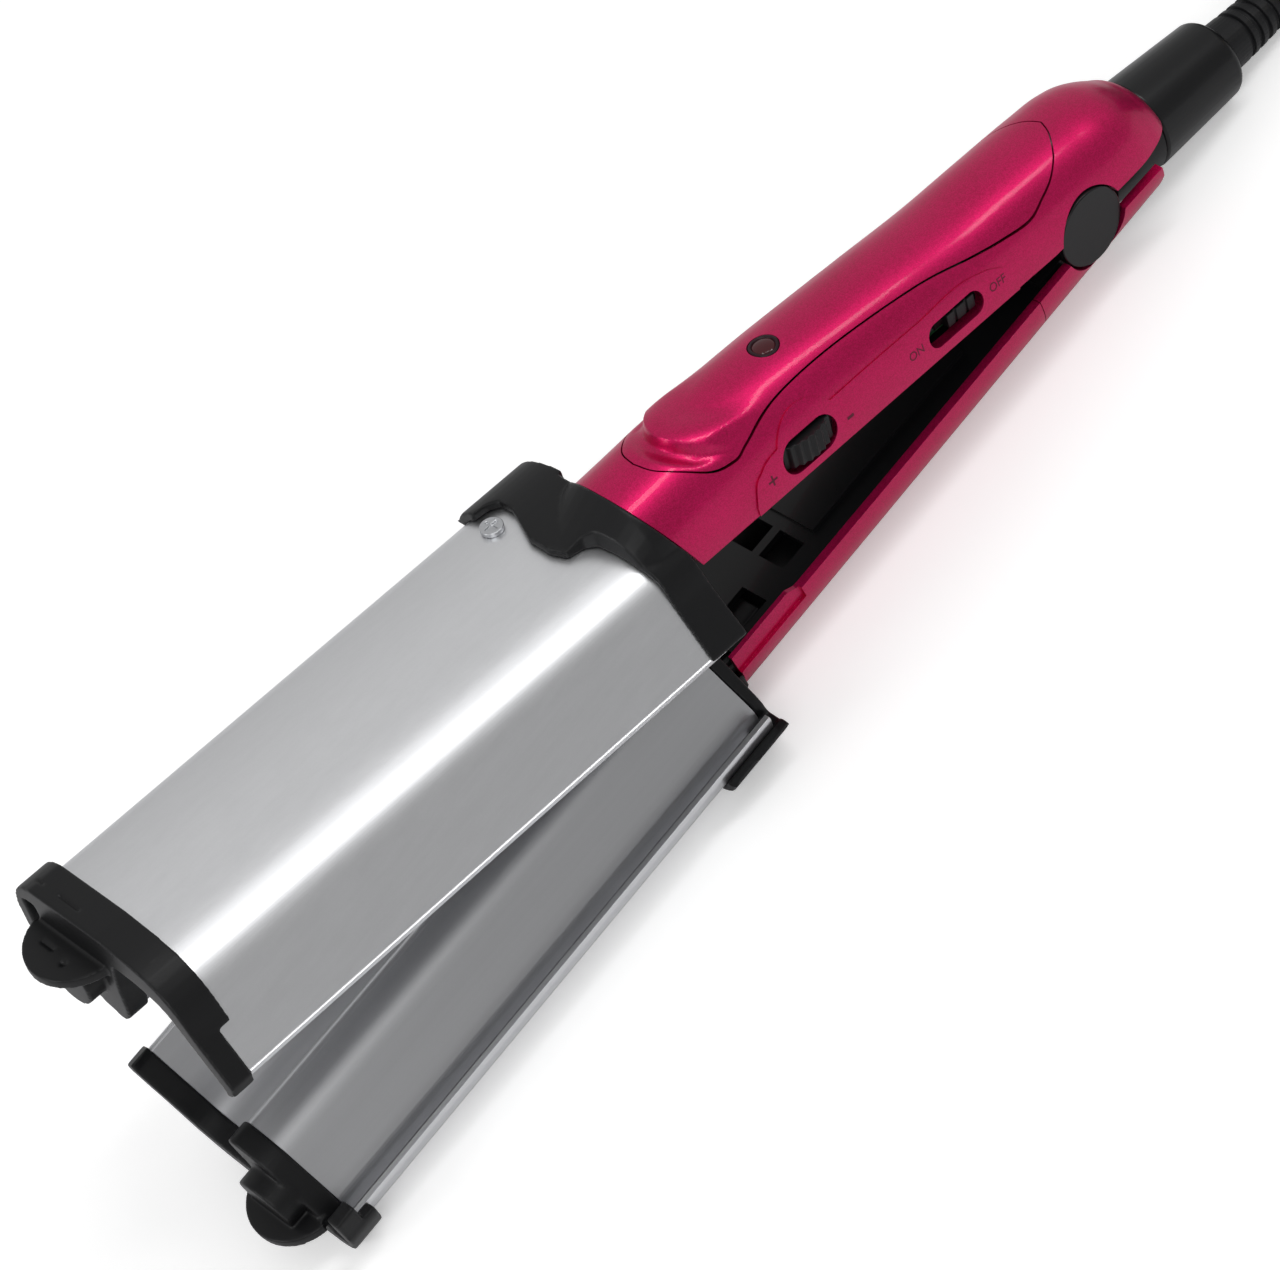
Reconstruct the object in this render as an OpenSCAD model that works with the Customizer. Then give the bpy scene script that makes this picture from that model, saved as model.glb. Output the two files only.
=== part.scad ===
// Deep waver: a scissor-opening hair crimper with two nesting barrel-and-arch jaws
// Row frame: +X to the tips, +Y to the switch side, +Z up, resting on the surface z = 0

/* [Arms] */
// Angle between the arms at rest, degrees
open_angle = 12.6; // [11:0.1:16]
// Hinge to the jaw's front rim, where the silver ends
jaw_front = 248; // [235:1:262]
// Hinge to the start of the silver beside the collar
jaw_rear = 127.5; // [124:0.5:134]
// Hinge to the front of the upper handle's shell at its side
handle_front = 117; // [113:0.5:118]
// Hinge to the rear of the upper handle's shell
handle_rear = 28.5; // [27:0.5:32]

/* [Jaw] */
// Half width to the outer face of the jaw's thick side
jaw_half_w = 28.5; // [27:0.25:31]
// Height of the cover's crown over the hinge plane
jaw_top = 13.0; // [12:0.25:15]
// Distance of the thin edge from the mid plane
edge_y = 26.8; // [25.5:0.1:27]
// Depth of the thin edge below the hinge plane
edge_z = 8.8; // [7.5:0.1:9.5]
// Thickness of the outer cover sheet
cover_t = 1.2; // [0.8:0.1:1.4]
// Thickness of the heated plate
plate_t = 1.2; // [0.8:0.1:1.4]
// Air gap between cover and heated plate
sheet_gap = 0.3; // [0.2:0.05:0.6]
// How far the barrel stands over the mirrored arch at the front
barrel_front = 3.6; // [3:0.1:4]
// The same at the rear
barrel_rear = 2.0; // [1.5:0.1:2.4]
// Distance of the barrel's steep flank from the mid plane
flank_y = 3.5; // [2.5:0.25:4.5]

/* [Front cap] */
// Depth of the cap along the jaw
cap_depth = 8.1; // [7:0.1:9]
// How far the cap stands out over the cover
cap_proud = 2.5; // [2:0.1:3]
// How far the cap's crown is planed flat
cap_flat = 1.0; // [0.6:0.1:1.4]
// How far the cap reaches past the heated surface
cap_lip = 0.6; // [0.3:0.05:0.7]
// Depth of the cap's front wall, which closes the barrel
cap_wall = 5.1; // [3.5:0.1:6]
// Radius of the cool tip's tab
tab_r = 10.8; // [9:0.2:12]
// Thickness of the tab
tab_t = 2.4; // [1.8:0.1:3.2]
// Height of the tab's top over the hinge plane
tab_z = 6.0; // [4.5:0.1:7.5]
// Distance of the tab's centre from the mid plane
tab_y = 14.0; // [12:0.2:16]
// How far the nose under the tab stands out
nose_len = 4.5; // [3:0.1:6]

/* [Collar] */
// How far the collar stands out over the cover
collar_proud = 2.2; // [1.8:0.1:2.8]
// Length of the collar's tongue inside the handle
tongue_len = 12; // [8:0.5:16]
// Diameter of the wire way through the collar
wire_way_d = 9; // [7:0.25:10]

/* [Handle] */
// Half width of the upper shell
shell_half_w = 15.4; // [14.8:0.1:16.2]
// Height of the upper shell at the hinge
shell_h_rear = 18.2; // [17.4:0.1:19.4]
// Height of the upper shell at its crest before the collar
shell_h_front = 21.6; // [20.8:0.1:22.6]
// Half width of the lower shell
lower_half_w = 15.8; // [15.4:0.1:16.4]
// Depth of the lower shell at the rear
lower_h_rear = 13.4; // [12.8:0.1:14.4]
// Depth of the lower shell at the front
lower_h_front = 14.4; // [13.8:0.1:15]
// Wall of both shells
shell_t = 2.0; // [1.6:0.1:2.4]
// Edge of the upper shell over the hinge plane
upper_edge = 1.4; // [1.2:0.1:2]
// Edge of the lower shell below the hinge plane
lower_edge = 1.7; // [1.5:0.1:2.2]
// How far the thumb ridge stands up at the front of the top cover
ridge_h = 1.3; // [0.6:0.1:1.8]
// Width of the grooves between the shell and its inserts
groove = 0.3; // [0.2:0.05:0.5]
// Hinge to the seam of the lower handle's rear part
seam_x = 19.5; // [19:0.5:26]
// Thickness of both liners
liner_t = 1.6; // [1.2:0.1:2]

/* [Controls] */
// Hinge to the dial's axis
dial_x = 82.8; // [80:0.5:88]
// Height of the dial's middle
dial_z = 7.1; // [6.6:0.1:7.6]
// Diameter of the thumb wheel
dial_d = 22; // [21:0.25:23]
// Thickness of the thumb wheel
dial_t = 5.6; // [4.5:0.1:6]
// Radius of the round frame about the dial
ring_r = 9.1; // [8.6:0.1:9.6]
// Hinge to the middle of the power switch
switch_x = 40.5; // [38:0.5:44]
// Length of the switch slot
switch_len = 16; // [14:0.5:18]
// Height of the switch slot
switch_w = 5.4; // [4.5:0.1:6.5]
// Travel of the switch button
switch_travel = 5; // [3:0.25:6]
// Length of the switch button
button_len = 8; // [6:0.25:9]
// Hinge to the lamp lens
lens_x = 77.4; // [74:0.2:80]
// Diameter of the lamp lens
lens_d = 6.6; // [5:0.1:8]

/* [Hinge] */
// Diameter of the hinge caps
cap_d = 17.7; // [16.5:0.1:18.5]
// Distance of a cap's face from the mid plane
cap_face = 14.8; // [14.2:0.1:15.2]
// Diameter of the hinge pin
pin_d = 5; // [4:0.1:6]
// Radial clearance of running fits
run_gap = 0.05; // [0.02:0.01:0.08]

/* [Cord] */
// Radius of the swivel where it meets the handle
swivel_r = 10.6; // [10:0.1:11]
// Radius of the swivel at its rear
swivel_r_end = 9.4; // [9:0.1:10.5]
// Length of the swivel behind the handle
swivel_len = 26.8; // [22:0.2:32]
// Diameter of the strain relief beside the swivel
relief_d = 12.2; // [11:0.2:13]
// Diameter of the cord
cord_d = 6.4; // [5.6:0.1:7]
// Radius of the coil's inner loop, to the cord's middle
coil_r = 26; // [25.6:0.1:30]
// Spacing of the coil's loops
coil_pitch = 7; // [6.9:0.05:8.5]
// Length of the run from the strain relief to the coil
run_len = 52; // [44:1:70]
// Sideways shift of the run, which brings the coil in line with the handle
run_shift = 9; // [0:0.5:9]

/* [Hidden] */
$fn = 48;
jaw_end = jaw_front + cap_depth;          // front face of the caps
wall_x = jaw_end - cap_wall;              // rear face of the caps' front wall
close_stop = 1.5;                         // angle left between the arms when shut
swivel_z = -0.9;                          // axis of the swivel and tail
tail_r = swivel_r - 0.2;                  // chassis tail inside the shell
neck_r = 5.5;                             // swivel neck in the tail's bore
wall_drop = 4.0;                          // lower end of the cover's thick side
slot_in = 23.1;                           // inner face of the slot for the other jaw's edge
front_lean = 0.44;                        // slope of the collar's rear face
sheet_off = cover_t + sheet_gap + plate_t;

// ---- lay of the tool on the surface ----
sw_fil = 2;                               // rounding of the swivel's rear edge
sw_x = -(handle_rear + 0.3 + swivel_len - sw_fil);
sw_zc = swivel_z - (swivel_r_end - sw_fil);
lx = sw_x * cos(open_angle) - sw_zc * sin(open_angle);
lz = sw_x * sin(open_angle) + sw_zc * cos(open_angle);
lay_a = jaw_end - lx;
under_z = jaw_top + cap_proud - cap_flat;
lay_b = -(lz + under_z);
lay_tilt = asin(sw_fil / norm([lay_a, lay_b])) + atan2(lay_b, lay_a);
lift = jaw_end * sin(lay_tilt) + under_z * cos(lay_tilt);
up_tilt = lay_tilt - open_angle;
relief_bend_x = sw_x - sw_fil - 6.4;      // where the strain relief starts to bend
tip_x = (jaw_front + cap_depth - 1.4 + tab_r) * cos(lay_tilt) - (tab_z - tab_t) * sin(lay_tilt);
bend_r = 115;
tail_end = (relief_bend_x * cos(up_tilt) + (swivel_z - 0) * sin(up_tilt)) - bend_r * sin(-up_tilt);
mid_x = (tip_x + tail_end) / 2;

module lower() { translate([-mid_x, 0, lift]) rotate([0, lay_tilt, 0]) children(); }
module upper() { translate([-mid_x, 0, lift]) rotate([0, up_tilt, 0]) children(); }
module turned() { rotate([180, 0, 0]) children(); }

// ---- curve helpers ----
function rev(p) = [for (i = [len(p) - 1 : -1 : 0]) p[i]];
function cr(a, b, c, d, t) = 0.5 * (2 * b + (c - a) * t + (2 * a - 5 * b + 4 * c - d) * t * t
  + (3 * b - a - 3 * c + d) * t * t * t);
function spline(p, k) = concat([for (i = [0 : len(p) - 2]) for (j = [0 : k - 1])
  cr(p[max(i - 1, 0)], p[i], p[i + 1], p[min(i + 2, len(p) - 1)], j / k)], [p[len(p) - 1]]);
function dirn(p, i) = let (d = p[min(i + 1, len(p) - 1)] - p[max(i - 1, 0)]) d / norm(d);
function off(p, t) = [for (i = [0 : len(p) - 1]) let (d = dirn(p, i)) p[i] + t * [-d[1], d[0]]];
function strip(p, a, b) = concat(off(p, a), rev(off(p, b)));
function raise(p, t) = [for (q = p) q + [0, t]];
function lerp(t, k) = lookup(t, k);

module xext(x0, x1) { translate([x0, 0, 0]) rotate([90, 0, 90]) linear_extrude(x1 - x0) children(); }
module yext(y0, y1) { translate([0, y1, 0]) rotate([90, 0, 0]) linear_extrude(y1 - y0) children(); }
module rod(a, b, r) { // straight cylinder between two points
  d = b - a;
  translate(a) rotate([0, acos(d[2] / norm(d)), atan2(d[1], d[0])]) cylinder(h = norm(d), r = r);
}
module cyl_y(r, y0, y1, x = 0, z = 0) { translate([x, y1, z]) rotate([90, 0, 0]) cylinder(h = y1 - y0, r = r); }
module cyl_x(r, x0, x1, y = 0, z = 0) { translate([x0, y, z]) rotate([0, 90, 0]) cylinder(h = x1 - x0, r = r); }

// a skin through rings of points, closed at both ends
module loft(r) {
  n = len(r[0]);
  m = len(r);
  polyhedron(points = [for (q = r) for (p = q) p],
    faces = concat([[for (i = [0 : n - 1]) i]], [[for (i = [n - 1 : -1 : 0]) (m - 1) * n + i]],
      [for (j = [0 : m - 2]) for (i = [0 : n - 1]) each
        [[j * n + i, (j + 1) * n + i, (j + 1) * n + (i + 1) % n], [j * n + i, (j + 1) * n + (i + 1) % n, j * n + (i + 1) % n]]]),
    convexity = 8);
}
module loft2(a, xa, b, xb) { loft([[for (p = rev(a)) [xa, p[0], p[1]]], [for (p = rev(b)) [xb, p[0], p[1]]]]); }

// ---- jaw curves, upper jaw, as [y, z] ----
cover = spline([[-jaw_half_w, wall_drop], [-jaw_half_w + 0.1, wall_drop + 1.8], [-jaw_half_w + 2.2, jaw_top - 3],
  [-jaw_half_w + 7.5, jaw_top - 0.6], [-13, jaw_top], [-2, jaw_top - 1.1], [8.7, jaw_top - 2.9],
  [15.7, jaw_top - 6.3], [21, jaw_top - 13.4], [edge_y, -edge_z]], 4);
arch = [for (q = off(cover, -sheet_off)) if (q[0] > 4) q];
// barrel: the arch turned half way round and raised, then the flank
function barrel(h) = [for (q = [for (i = [len(arch) - 1 : -1 : 0]) [-arch[i][0], -arch[i][1] - h]])
  if (q[0] < -flank_y - 4.4 && q[0] > -slot_in + 0.3) q];
function swave(h) = let (b = barrel(h), b0 = b[0], bn = b[len(b) - 1]) concat(
  [[-slot_in, jaw_top - 3.6], [-slot_in, b0[1] + 2.2]], [for (i = [0 : len(b) - 2]) b[i]],
  spline([bn, [-flank_y - 2.6, bn[1] - 0.1], [-flank_y - 0.8, bn[1] + 2.2], [-flank_y, bn[1] + 8],
    [-flank_y + 0.4, bn[1] + 13.4 - h / 2], [-flank_y + 2.4, arch[0][1] - 0.4], arch[0] - [2.2, -0.25]], 4),
  arch);
wave_f = swave(barrel_front);
wave_r = swave(barrel_rear);
wave_m = swave((barrel_front + barrel_rear) / 2);

// raised outside, thinning steadily towards the thin edge
step_n = 4;
function raised(t, tip) = [for (i = [0 : len(cover) - 1]) let (d = dirn(cover, i),
  k = min(max((i - len(cover) + 12) / 8, 0), 1)) cover[i] + (t + (tip - t) * k) * [-d[1], d[0]]];
function tapered(t, zb, tip) = let (o = raised(t, tip)) concat([[-jaw_half_w - t, zb]],
  [for (i = [0 : len(o) - 1]) if (o[i][1] > zb + 0.4 || i > len(o) / 2) o[i]]);
// outline between the raised outside and the heated side, with the slot for the other edge
function capline(o, zb, w, lip, drop) = let (e = off(w, -lip), n = len(e), sz = jaw_top - 3.6)
  concat(o, [o[len(o) - 1] - [0, drop], e[n - 1] - [0, drop]],
    [for (i = [n - 1 : -1 : 1]) e[i]], [[-slot_in - lip, sz], [-jaw_half_w + 2, sz],
    [-jaw_half_w + 0.9, max(zb + 0.3, sz - 2)], [-jaw_half_w + 0.9, zb]]);
// the hollow between cover and barrel, for what plugs in from an end
core = let (c = off(cover, -cover_t - 0.25), w = off(wave_r, plate_t + 0.25))
  concat([for (q = c) if (q[0] > -slot_in + 2 && q[0] < -flank_y - 4.5) q],
    rev([for (q = w) if (q[0] > -slot_in + 1.7 && q[0] < -flank_y - 4.5 && q[1] < 7) q]));

module sheet_cover(x0) { xext(x0, wall_x - 0.1) polygon(strip(cover, 0, -cover_t)); }
module sheet_plate(x0) {
  loft2(strip(wave_r, 0, plate_t), x0, strip(wave_f, 0, plate_t), wall_x - 0.1);
}

module jaw_cap() {
  difference() {
    union() {
      xext(wall_x, jaw_end) polygon(capline(tapered(cap_proud, -1, 0.3), -1, wave_f, cap_lip, 2.2));
      xext(jaw_front, wall_x) polygon(concat([for (i = [0 : len(cover) - 1 - step_n]) raised(cap_proud, 0.3)[i]],
        rev([for (i = [0 : len(cover) - 1 - step_n]) off(cover, 0.1)[i]])));
      xext(wall_x - 6, wall_x) polygon(core);
      // tab and nose of the cool tip
      translate([jaw_end - 1.4, -tab_y, tab_z - tab_t]) intersection() {
        cylinder(h = tab_t, r = tab_r);
        translate([0, -tab_r, 0]) cube([tab_r, 2 * tab_r, tab_t]);
      }
      difference() {
        translate([jaw_end - 1, -tab_y + 1, tab_z - tab_t - 9]) cyl_x(6.8, 0, nose_len + 1, 0, 6);
        translate([jaw_end, -tab_y - 12, tab_z - 0.2]) cube([20, 30, 12]);
      }
    }
    // screw ways into the cap's plug
    cyl_x(1.2, wall_x - 7, wall_x - 1, -16, 3);
    // three marks and a dimple on the top
    for (k = [[-25, 3.5], [-17, 6.5]])
      translate([jaw_end - 3.2, k[0], jaw_top + cap_proud - cap_flat - 0.5]) cube([0.7, k[1], 3]);
    translate([jaw_end + 3, -tab_y - 5, tab_z - 0.4]) cube([0.7, 4, 3]);
    // way for the other jaw's thin edge, also through the tab's root
    translate([wall_x - 1, -jaw_half_w + 0.9, -2])
      cube([cap_wall + 1.5, jaw_half_w - 0.9 - slot_in - cap_lip, jaw_top - 1.7]);
    // planed crown
    translate([jaw_front - 5, -40, under_z]) cube([30, 80, 10]);
    translate([jaw_end + 4.4, -tab_y + 3, tab_z - 0.5]) cylinder(h = 2, r = 0.7);
  }
}

// plan of the collar: straight rear, wavy front
collar_front = [[139, -31], [139.1, -23], [135.6, -22.4], [133.8, -20.5], [134, -16.6], [135.7, -12.6], [137.6, -8.2],
  [137.4, -3], [135.8, 0.4], [132, 1.2], [130, 3], [129.2, 7], [128.6, 12], [128, 16], [128.2, 21.3], [128.2, 31]];
function wavy(dx) = [for (q = collar_front) [q[0] - 127.5 + jaw_rear + dx, q[1] * (jaw_half_w + 3.2) / 31]];
module collar_plan(zl, zh) {
  translate([0, 0, zl]) linear_extrude(zh - zl)
    polygon(concat([[jaw_rear - 5.5, -34], [jaw_rear - 9.3, 34]], rev(wavy(0))));
}
rear_line = [[handle_front + front_lean * (-1.4 - 3), -1.4], [handle_front, 3], [handle_front + front_lean * 21, 24],
  [jaw_rear + 30, 24], [jaw_rear + 30, -1.4]];

module collar_body() {
  difference() {
    union() {
      intersection() {
        xext(jaw_rear - 11, jaw_rear + 16) polygon(capline(
          tapered(collar_proud, wall_drop + 4, 0.25), wall_drop + 4, wave_r, 0, 0.4));
        collar_plan(-30, 30);
      }
      children();
    }
    // room for both sheets and the barrel in front of the end wall
    xext(jaw_rear - 0.1, jaw_rear + 40) polygon(concat(off(cover, 0.1), [[edge_y + 5, -edge_z - 6], [0, -40], [-60, -40],
      [-60, wall_drop], [-jaw_half_w - 0.1, wall_drop]]));
    xext(jaw_rear - 3.6, jaw_rear + 1) polygon(strip(cover, 0.1, -cover_t - 0.1));
    xext(jaw_rear - 3.6, jaw_rear + 1) polygon(strip(wave_r, -0.12, plate_t + 0.12));
    cyl_x(wire_way_d / 2, jaw_rear - 40, jaw_rear + 30, -12, 2.5);
  }
}
module nest_room() { // all on the heated side stays open for the other jaw
  xext(jaw_rear - 11, jaw_rear + 2) polygon(concat(wave_r, [[wave_r[len(wave_r) - 1][0], -40], [wave_r[0][0], -40]]));
}
module collar_plug(len_f) { // block inside the jaw's hollow that takes the cover screw
  difference() {
    xext(jaw_rear - 1, jaw_rear + len_f) polygon(core);
    cyl_x(wire_way_d / 2, jaw_rear - 40, jaw_rear + 40, -12, 2.5);
    translate([jaw_rear + 11.7, -17.7, -5]) cylinder(h = 30, r = 1.2);
  }
}
module cover_screw() {
  translate([jaw_rear + 11.7, -17.7, jaw_top + 0.02]) difference() {
    union() {
      cylinder(h = 1.1, r = 2.5);
      translate([0, 0, -7]) cylinder(h = 7.2, r = 1.15);
    }
    translate([-1.6, -0.3, 0.7]) cube([3.2, 0.6, 1]);
    translate([-0.3, -1.6, 0.7]) cube([0.6, 3.2, 1]);
  }
}
module screw_hole() { translate([jaw_rear + 11.7, -17.7, jaw_top - 6]) cylinder(h = 12, r = 1.3); }
module heater_bar() { // ceramic element in its aluminium carrier, which fills the barrel and backs its walls
  xext(jaw_rear + 24, wall_x - 8) polygon(concat([for (q = off(wave_r, plate_t + 0.3))
    if (q[0] > -slot_in + plate_t + 0.4 && q[0] < -flank_y - plate_t - 0.6 && q[1] < 3.8) q],
    [[-flank_y - plate_t - 0.7, 5], [-slot_in + plate_t + 2.2, 5]]));
}

// ---- upper handle ----
hs = shell_h_rear;
hf = shell_h_front;
// stations: x, half width, height, roundness
up_st = [[-handle_rear, swivel_r + 0.8, swivel_r + 0.1, 2.0], [-handle_rear + 1, swivel_r + 1.7, swivel_r + 1.3, 2.0],
  [-handle_rear + 3.4, swivel_r + 2.9, hs - 4.8, 2.05], [-handle_rear + 6.5, shell_half_w - 1.1, hs - 2.9, 2.1],
  [-handle_rear + 10, shell_half_w - 0.45, hs - 1.4, 2.2], [-handle_rear + 15, shell_half_w - 0.1, hs - 0.4, 2.3],
  [-6, shell_half_w, hs, 2.3], [12, shell_half_w, hs + 0.2, 2.3], [27, shell_half_w, hs + 0.2, 2.3],
  [46, shell_half_w, hs + 1.5, 2.3], [60, shell_half_w, hs + 2.4, 2.3], [77, shell_half_w, hf - 0.1, 2.3],
  [90, shell_half_w, hf, 2.3], [101, shell_half_w, hf - 0.5, 2.3], [112, shell_half_w, hf - 1.5, 2.3],
  [handle_front + 12, shell_half_w, hf - 2.8, 2.3]];
function xrow(w, h, n, k, s) = concat([[s * w, -6 * s]], [for (i = [0 : k]) let (a = 180 * i / k)
  s * [w * sign(cos(a)) * pow(abs(cos(a)), 2 / n), h * pow(sin(a), 2 / n)]], [[-s * w, -6 * s]]);
function rows(st, k, s, dw, dh, xa, xb) = [for (q = st) if (q[0] >= xa && q[0] <= xb)
  [for (p = xrow(q[1] - dw, q[2] - dh, q[3], k, s)) [q[0], p[0], p[1]]]];
module up_skin(d, k, xa, xb) { loft(rows(up_st, k, 1, d, d, xa, xb)); }
module up_hollow() {
  translate([0, 0, 0]) loft(rows(concat([[-13, shell_half_w, hs, 2.3]], [for (q = up_st) if (q[0] > -10) q]),
    20, 1, shell_t, shell_t, -14, 200));
}
up_side = [[-handle_rear - 1, 5.2], [-23.5, 4.6], [-8, 3.6], [10, upper_edge + 0.1], [handle_front - 1, upper_edge],
  [handle_front - 0.3, 3], [handle_front - 0.3 + front_lean * 22, 25], [-handle_rear - 1, 25]];
// plan of the top cover, switch side, then mirrored for the far side
cover_plan = spline([[-5, 0], [-3.6, 3.2], [-1.1, 6.4], [1.2, 8.5], [4.8, 10.5], [9, 11.7], [14.2, 12.7], [22, 12.3],
  [30, 11.5], [44, 9.9], [66, 9.0], [84, 9.5], [95.4, 11.5], [100, 12.1], [106.3, 10.7], [113.2, 5.1], [114.8, 0]], 2);
module top_area(g) {
  p = [for (q = cover_plan) q + g * [(q[0] - 55) / 60, 1]];
  linear_extrude(40) polygon(concat(p, rev([for (q = p) [q[0], -q[1]]])));
}
module strip_area(g, zb) { // side view of the control strip, x and z
  polygon([[23 - g, zb], [100 + g, zb], [99.8 + g, 5.4], [96, 10 + g], [90, 11.6 + g],
    [74, 11.8 + g], [50, 11.6 + g], [32, 11.2 + g], [27 - g / 2, 9.4 + g], [23 - g, 5]]);
  translate([dial_x, dial_z - 0.35]) circle(r = ring_r + g);
}
module dial_room() {
  translate([dial_x, dial_y, dial_z - dial_t / 2 - 0.3]) cylinder(h = dial_t + 0.6, r = dial_d / 2 + 0.3);
}
module ctrl_cuts() {
  // slot for the dial
  translate([dial_x + 0.7 - 7.5, 0, dial_z - 3.9]) cube([15, 30, 7.8]);
  // slot for the button
  yext(5, 30) {
    translate([switch_x, 6.5]) square([switch_len - switch_w, switch_w], center = true);
    translate([switch_x - switch_len / 2 + switch_w / 2, 6.5]) circle(d = switch_w);
    translate([switch_x + switch_len / 2 - switch_w / 2, 6.5]) circle(d = switch_w);
  }
}

module upper_shell() {
  color("#d01058") upper() difference() {
    intersection() {
      up_skin(0, 28, -100, 200);
      yext(-30, 30) polygon(up_side);
    }
    up_hollow();
    cyl_x(tail_r + 0.1, -40, -12.9, 0, swivel_z);
    intersection() {
      top_area(groove);
      translate([-10, -20, 0]) cube([140, 40, 40]);
    }
    yext(7.8, 30) strip_area(groove, -5);
    dial_room();
    for (s = [-1, 1]) cyl_y(cap_d / 2 + 0.4, s > 0 ? 9.2 : -30, s > 0 ? 30 : -9.2);
  }
}
module top_cover() {
  color("#e02068") upper() difference() {
    intersection() {
      loft([for (q = up_st) if (q[0] > -8) let (e = lerp(q[0], [[60, 0], [90, ridge_h * 0.7], [101, ridge_h], [112, 0]]))
        [for (p = xrow(q[1], q[2] + e, q[3], 28, 1)) [q[0], p[0], p[1]]]]);
      top_area(0);
    }
    up_hollow();
    translate([lens_x, 0, 10]) cylinder(h = 20, r = lens_d / 2 + 0.05);
  }
}
module control_strip() {
  color("#c01050") upper() difference() {
    intersection() {
      loft([for (q = up_st) if (q[0] > 8) [for (p = xrow(q[1] + 0.35, q[2] + 0.3, q[3], 28, 1)) [q[0], p[0], p[1]]]]);
      yext(8, 30) strip_area(0, upper_edge);
    }
    loft([for (q = up_st) if (q[0] > -10) [for (p = xrow(q[1] - shell_t, q[2] - shell_t, q[3], 20, 1)) [q[0], p[0], p[1]]]]);
    ctrl_cuts();
    dial_room();
    top_area(groove / 2);
  }
}
module indicator_lens() {
  color("#801020") upper() translate([lens_x, 0, shell_h_front - 3.8]) {
    cylinder(h = 4.1, r = lens_d / 2);
    cylinder(h = 0.75, r = lens_d / 2 + 0.8);
  }
}
boss_half = 8.9;
module upper_chassis() {
  color("#26282c") upper() difference() {
    union() {
      translate([12, -shell_half_w + shell_t + 0.25, 0])
        cube([handle_front - 14, 2 * (shell_half_w - shell_t - 0.25), liner_t]);
      for (s = [-1, 1]) {
        translate([-14, s > 0 ? 7.2 : -boss_half, -2]) cube([30, boss_half - 7.2, 3.6]);
        cyl_y(4.7, s > 0 ? 4.4 : -boss_half, s > 0 ? boss_half : -4.4);
      }
      cyl_y(4.3, -boss_half, boss_half);
      cyl_x(tail_r, -handle_rear, -13, 0, swivel_z);
      // pads that carry the switch and the board
      translate([24, -8, 0]) cube([8, 16, liner_t + 0.6]);
      translate([handle_front - tongue_len - 9, -9, 0]) cube([4, 18, liner_t + 0.6]);
    }
    cyl_y(pin_d / 2 + run_gap, -20, 20);
    cyl_x(neck_r + run_gap, -60, -12, 0, swivel_z);
    translate([-13.01, -20, 4]) cube([10, 40, 20]);
  }
}
module control_board() {
  color("#2c6b3a") upper() translate([24.5, -10, liner_t + 0.6]) difference() {
    cube([handle_front - tongue_len - 30, 20, 1.6]);
    translate([4, 4, -1]) cylinder(h = 4, r = 1.5);
  }
}
dial_y = 5.4;
module dial_pot() {
  color("#30343a") upper() translate([dial_x, dial_y, liner_t + 2.2]) difference() {
    union() {
      cylinder(h = dial_z - dial_t / 2 - liner_t - 2.4, r = 4.6);
      cylinder(h = dial_z + dial_t / 2 - liner_t - 2.0, r = 2);
    }
    translate([0, 0, -1]) cylinder(h = 1.5, r = 1);
  }
}
module temp_dial() {
  color("#18191b") upper() translate([dial_x, dial_y, dial_z - dial_t / 2]) difference() {
    linear_extrude(dial_t) polygon([for (i = [0 : 71]) (dial_d / 2 - (i % 2) * 0.5) * [cos(5 * i), sin(5 * i)]]);
    translate([0, 0, -1]) cylinder(h = dial_t + 2, r = 2 + run_gap);
  }
}
module switch_body() {
  color("#303338") upper() difference() {
    translate([switch_x - 10, 2.8, liner_t + 2.3]) cube([20, 8, 7.2]);
    translate([switch_x - switch_len / 2, 6.4, 4.7]) cube([switch_len, 6, 3.6]);
  }
}
module switch_button() {
  color("#151618") upper() difference() {
    union() {
      translate([switch_x - switch_travel / 2 - button_len / 2, 6.6, 4.9]) cube([button_len, 7.6, 3.2]);
      translate([switch_x - switch_travel / 2 - button_len / 2 - 2, 11.1, 4.6]) cube([button_len + 4, 0.9, 3.8]);
    }
    for (i = [-1, 1]) translate([switch_x - switch_travel / 2 + 1.6 * i - 0.3, 13.8, 4]) cube([0.6, 1, 5]);
  }
}
module upper_fuse() {
  color("#c8b060") upper() cyl_x(2, jaw_rear + 26, jaw_rear + 40, -13.5, 7.05);
}
module upper_leads() {
  color("#b03030") upper() for (s = [0, 1])
    tube([[90 + 4 * s, -8.6 - 2.2 * s, 5.8], [jaw_rear + 1.6, -10.9 - 2.2 * s, 2.6],
      [jaw_rear + 23.8, -10.9 - 2.2 * s, 1.6]], 0.9, 8);
}
module tongue(h) {
  translate([handle_front - tongue_len, -10.5, liner_t + 0.05]) cube([tongue_len + 6.4, 21, h]);
}
module saddle() { // blend from the handle's section down to the jaw's
  intersection() {
    loft([for (q = [[handle_front - 3, 16, 21.6], [handle_front + 3, 16, 20.8], [jaw_rear - 3, 16, 19.4],
      [jaw_rear, 15.6, 17.6], [jaw_rear + 3, 15, 15.9], [jaw_rear + 6, 14.2, 14.6], [jaw_rear + 9, 13.4, 13.4]])
      [for (p = xrow(q[1], q[2], 2.4, 20, 1)) [q[0], p[0], p[1] > 0 ? p[1] : max(p[1], -3)]]]);
    yext(-20, 20) polygon(rear_line);
  }
}
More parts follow.
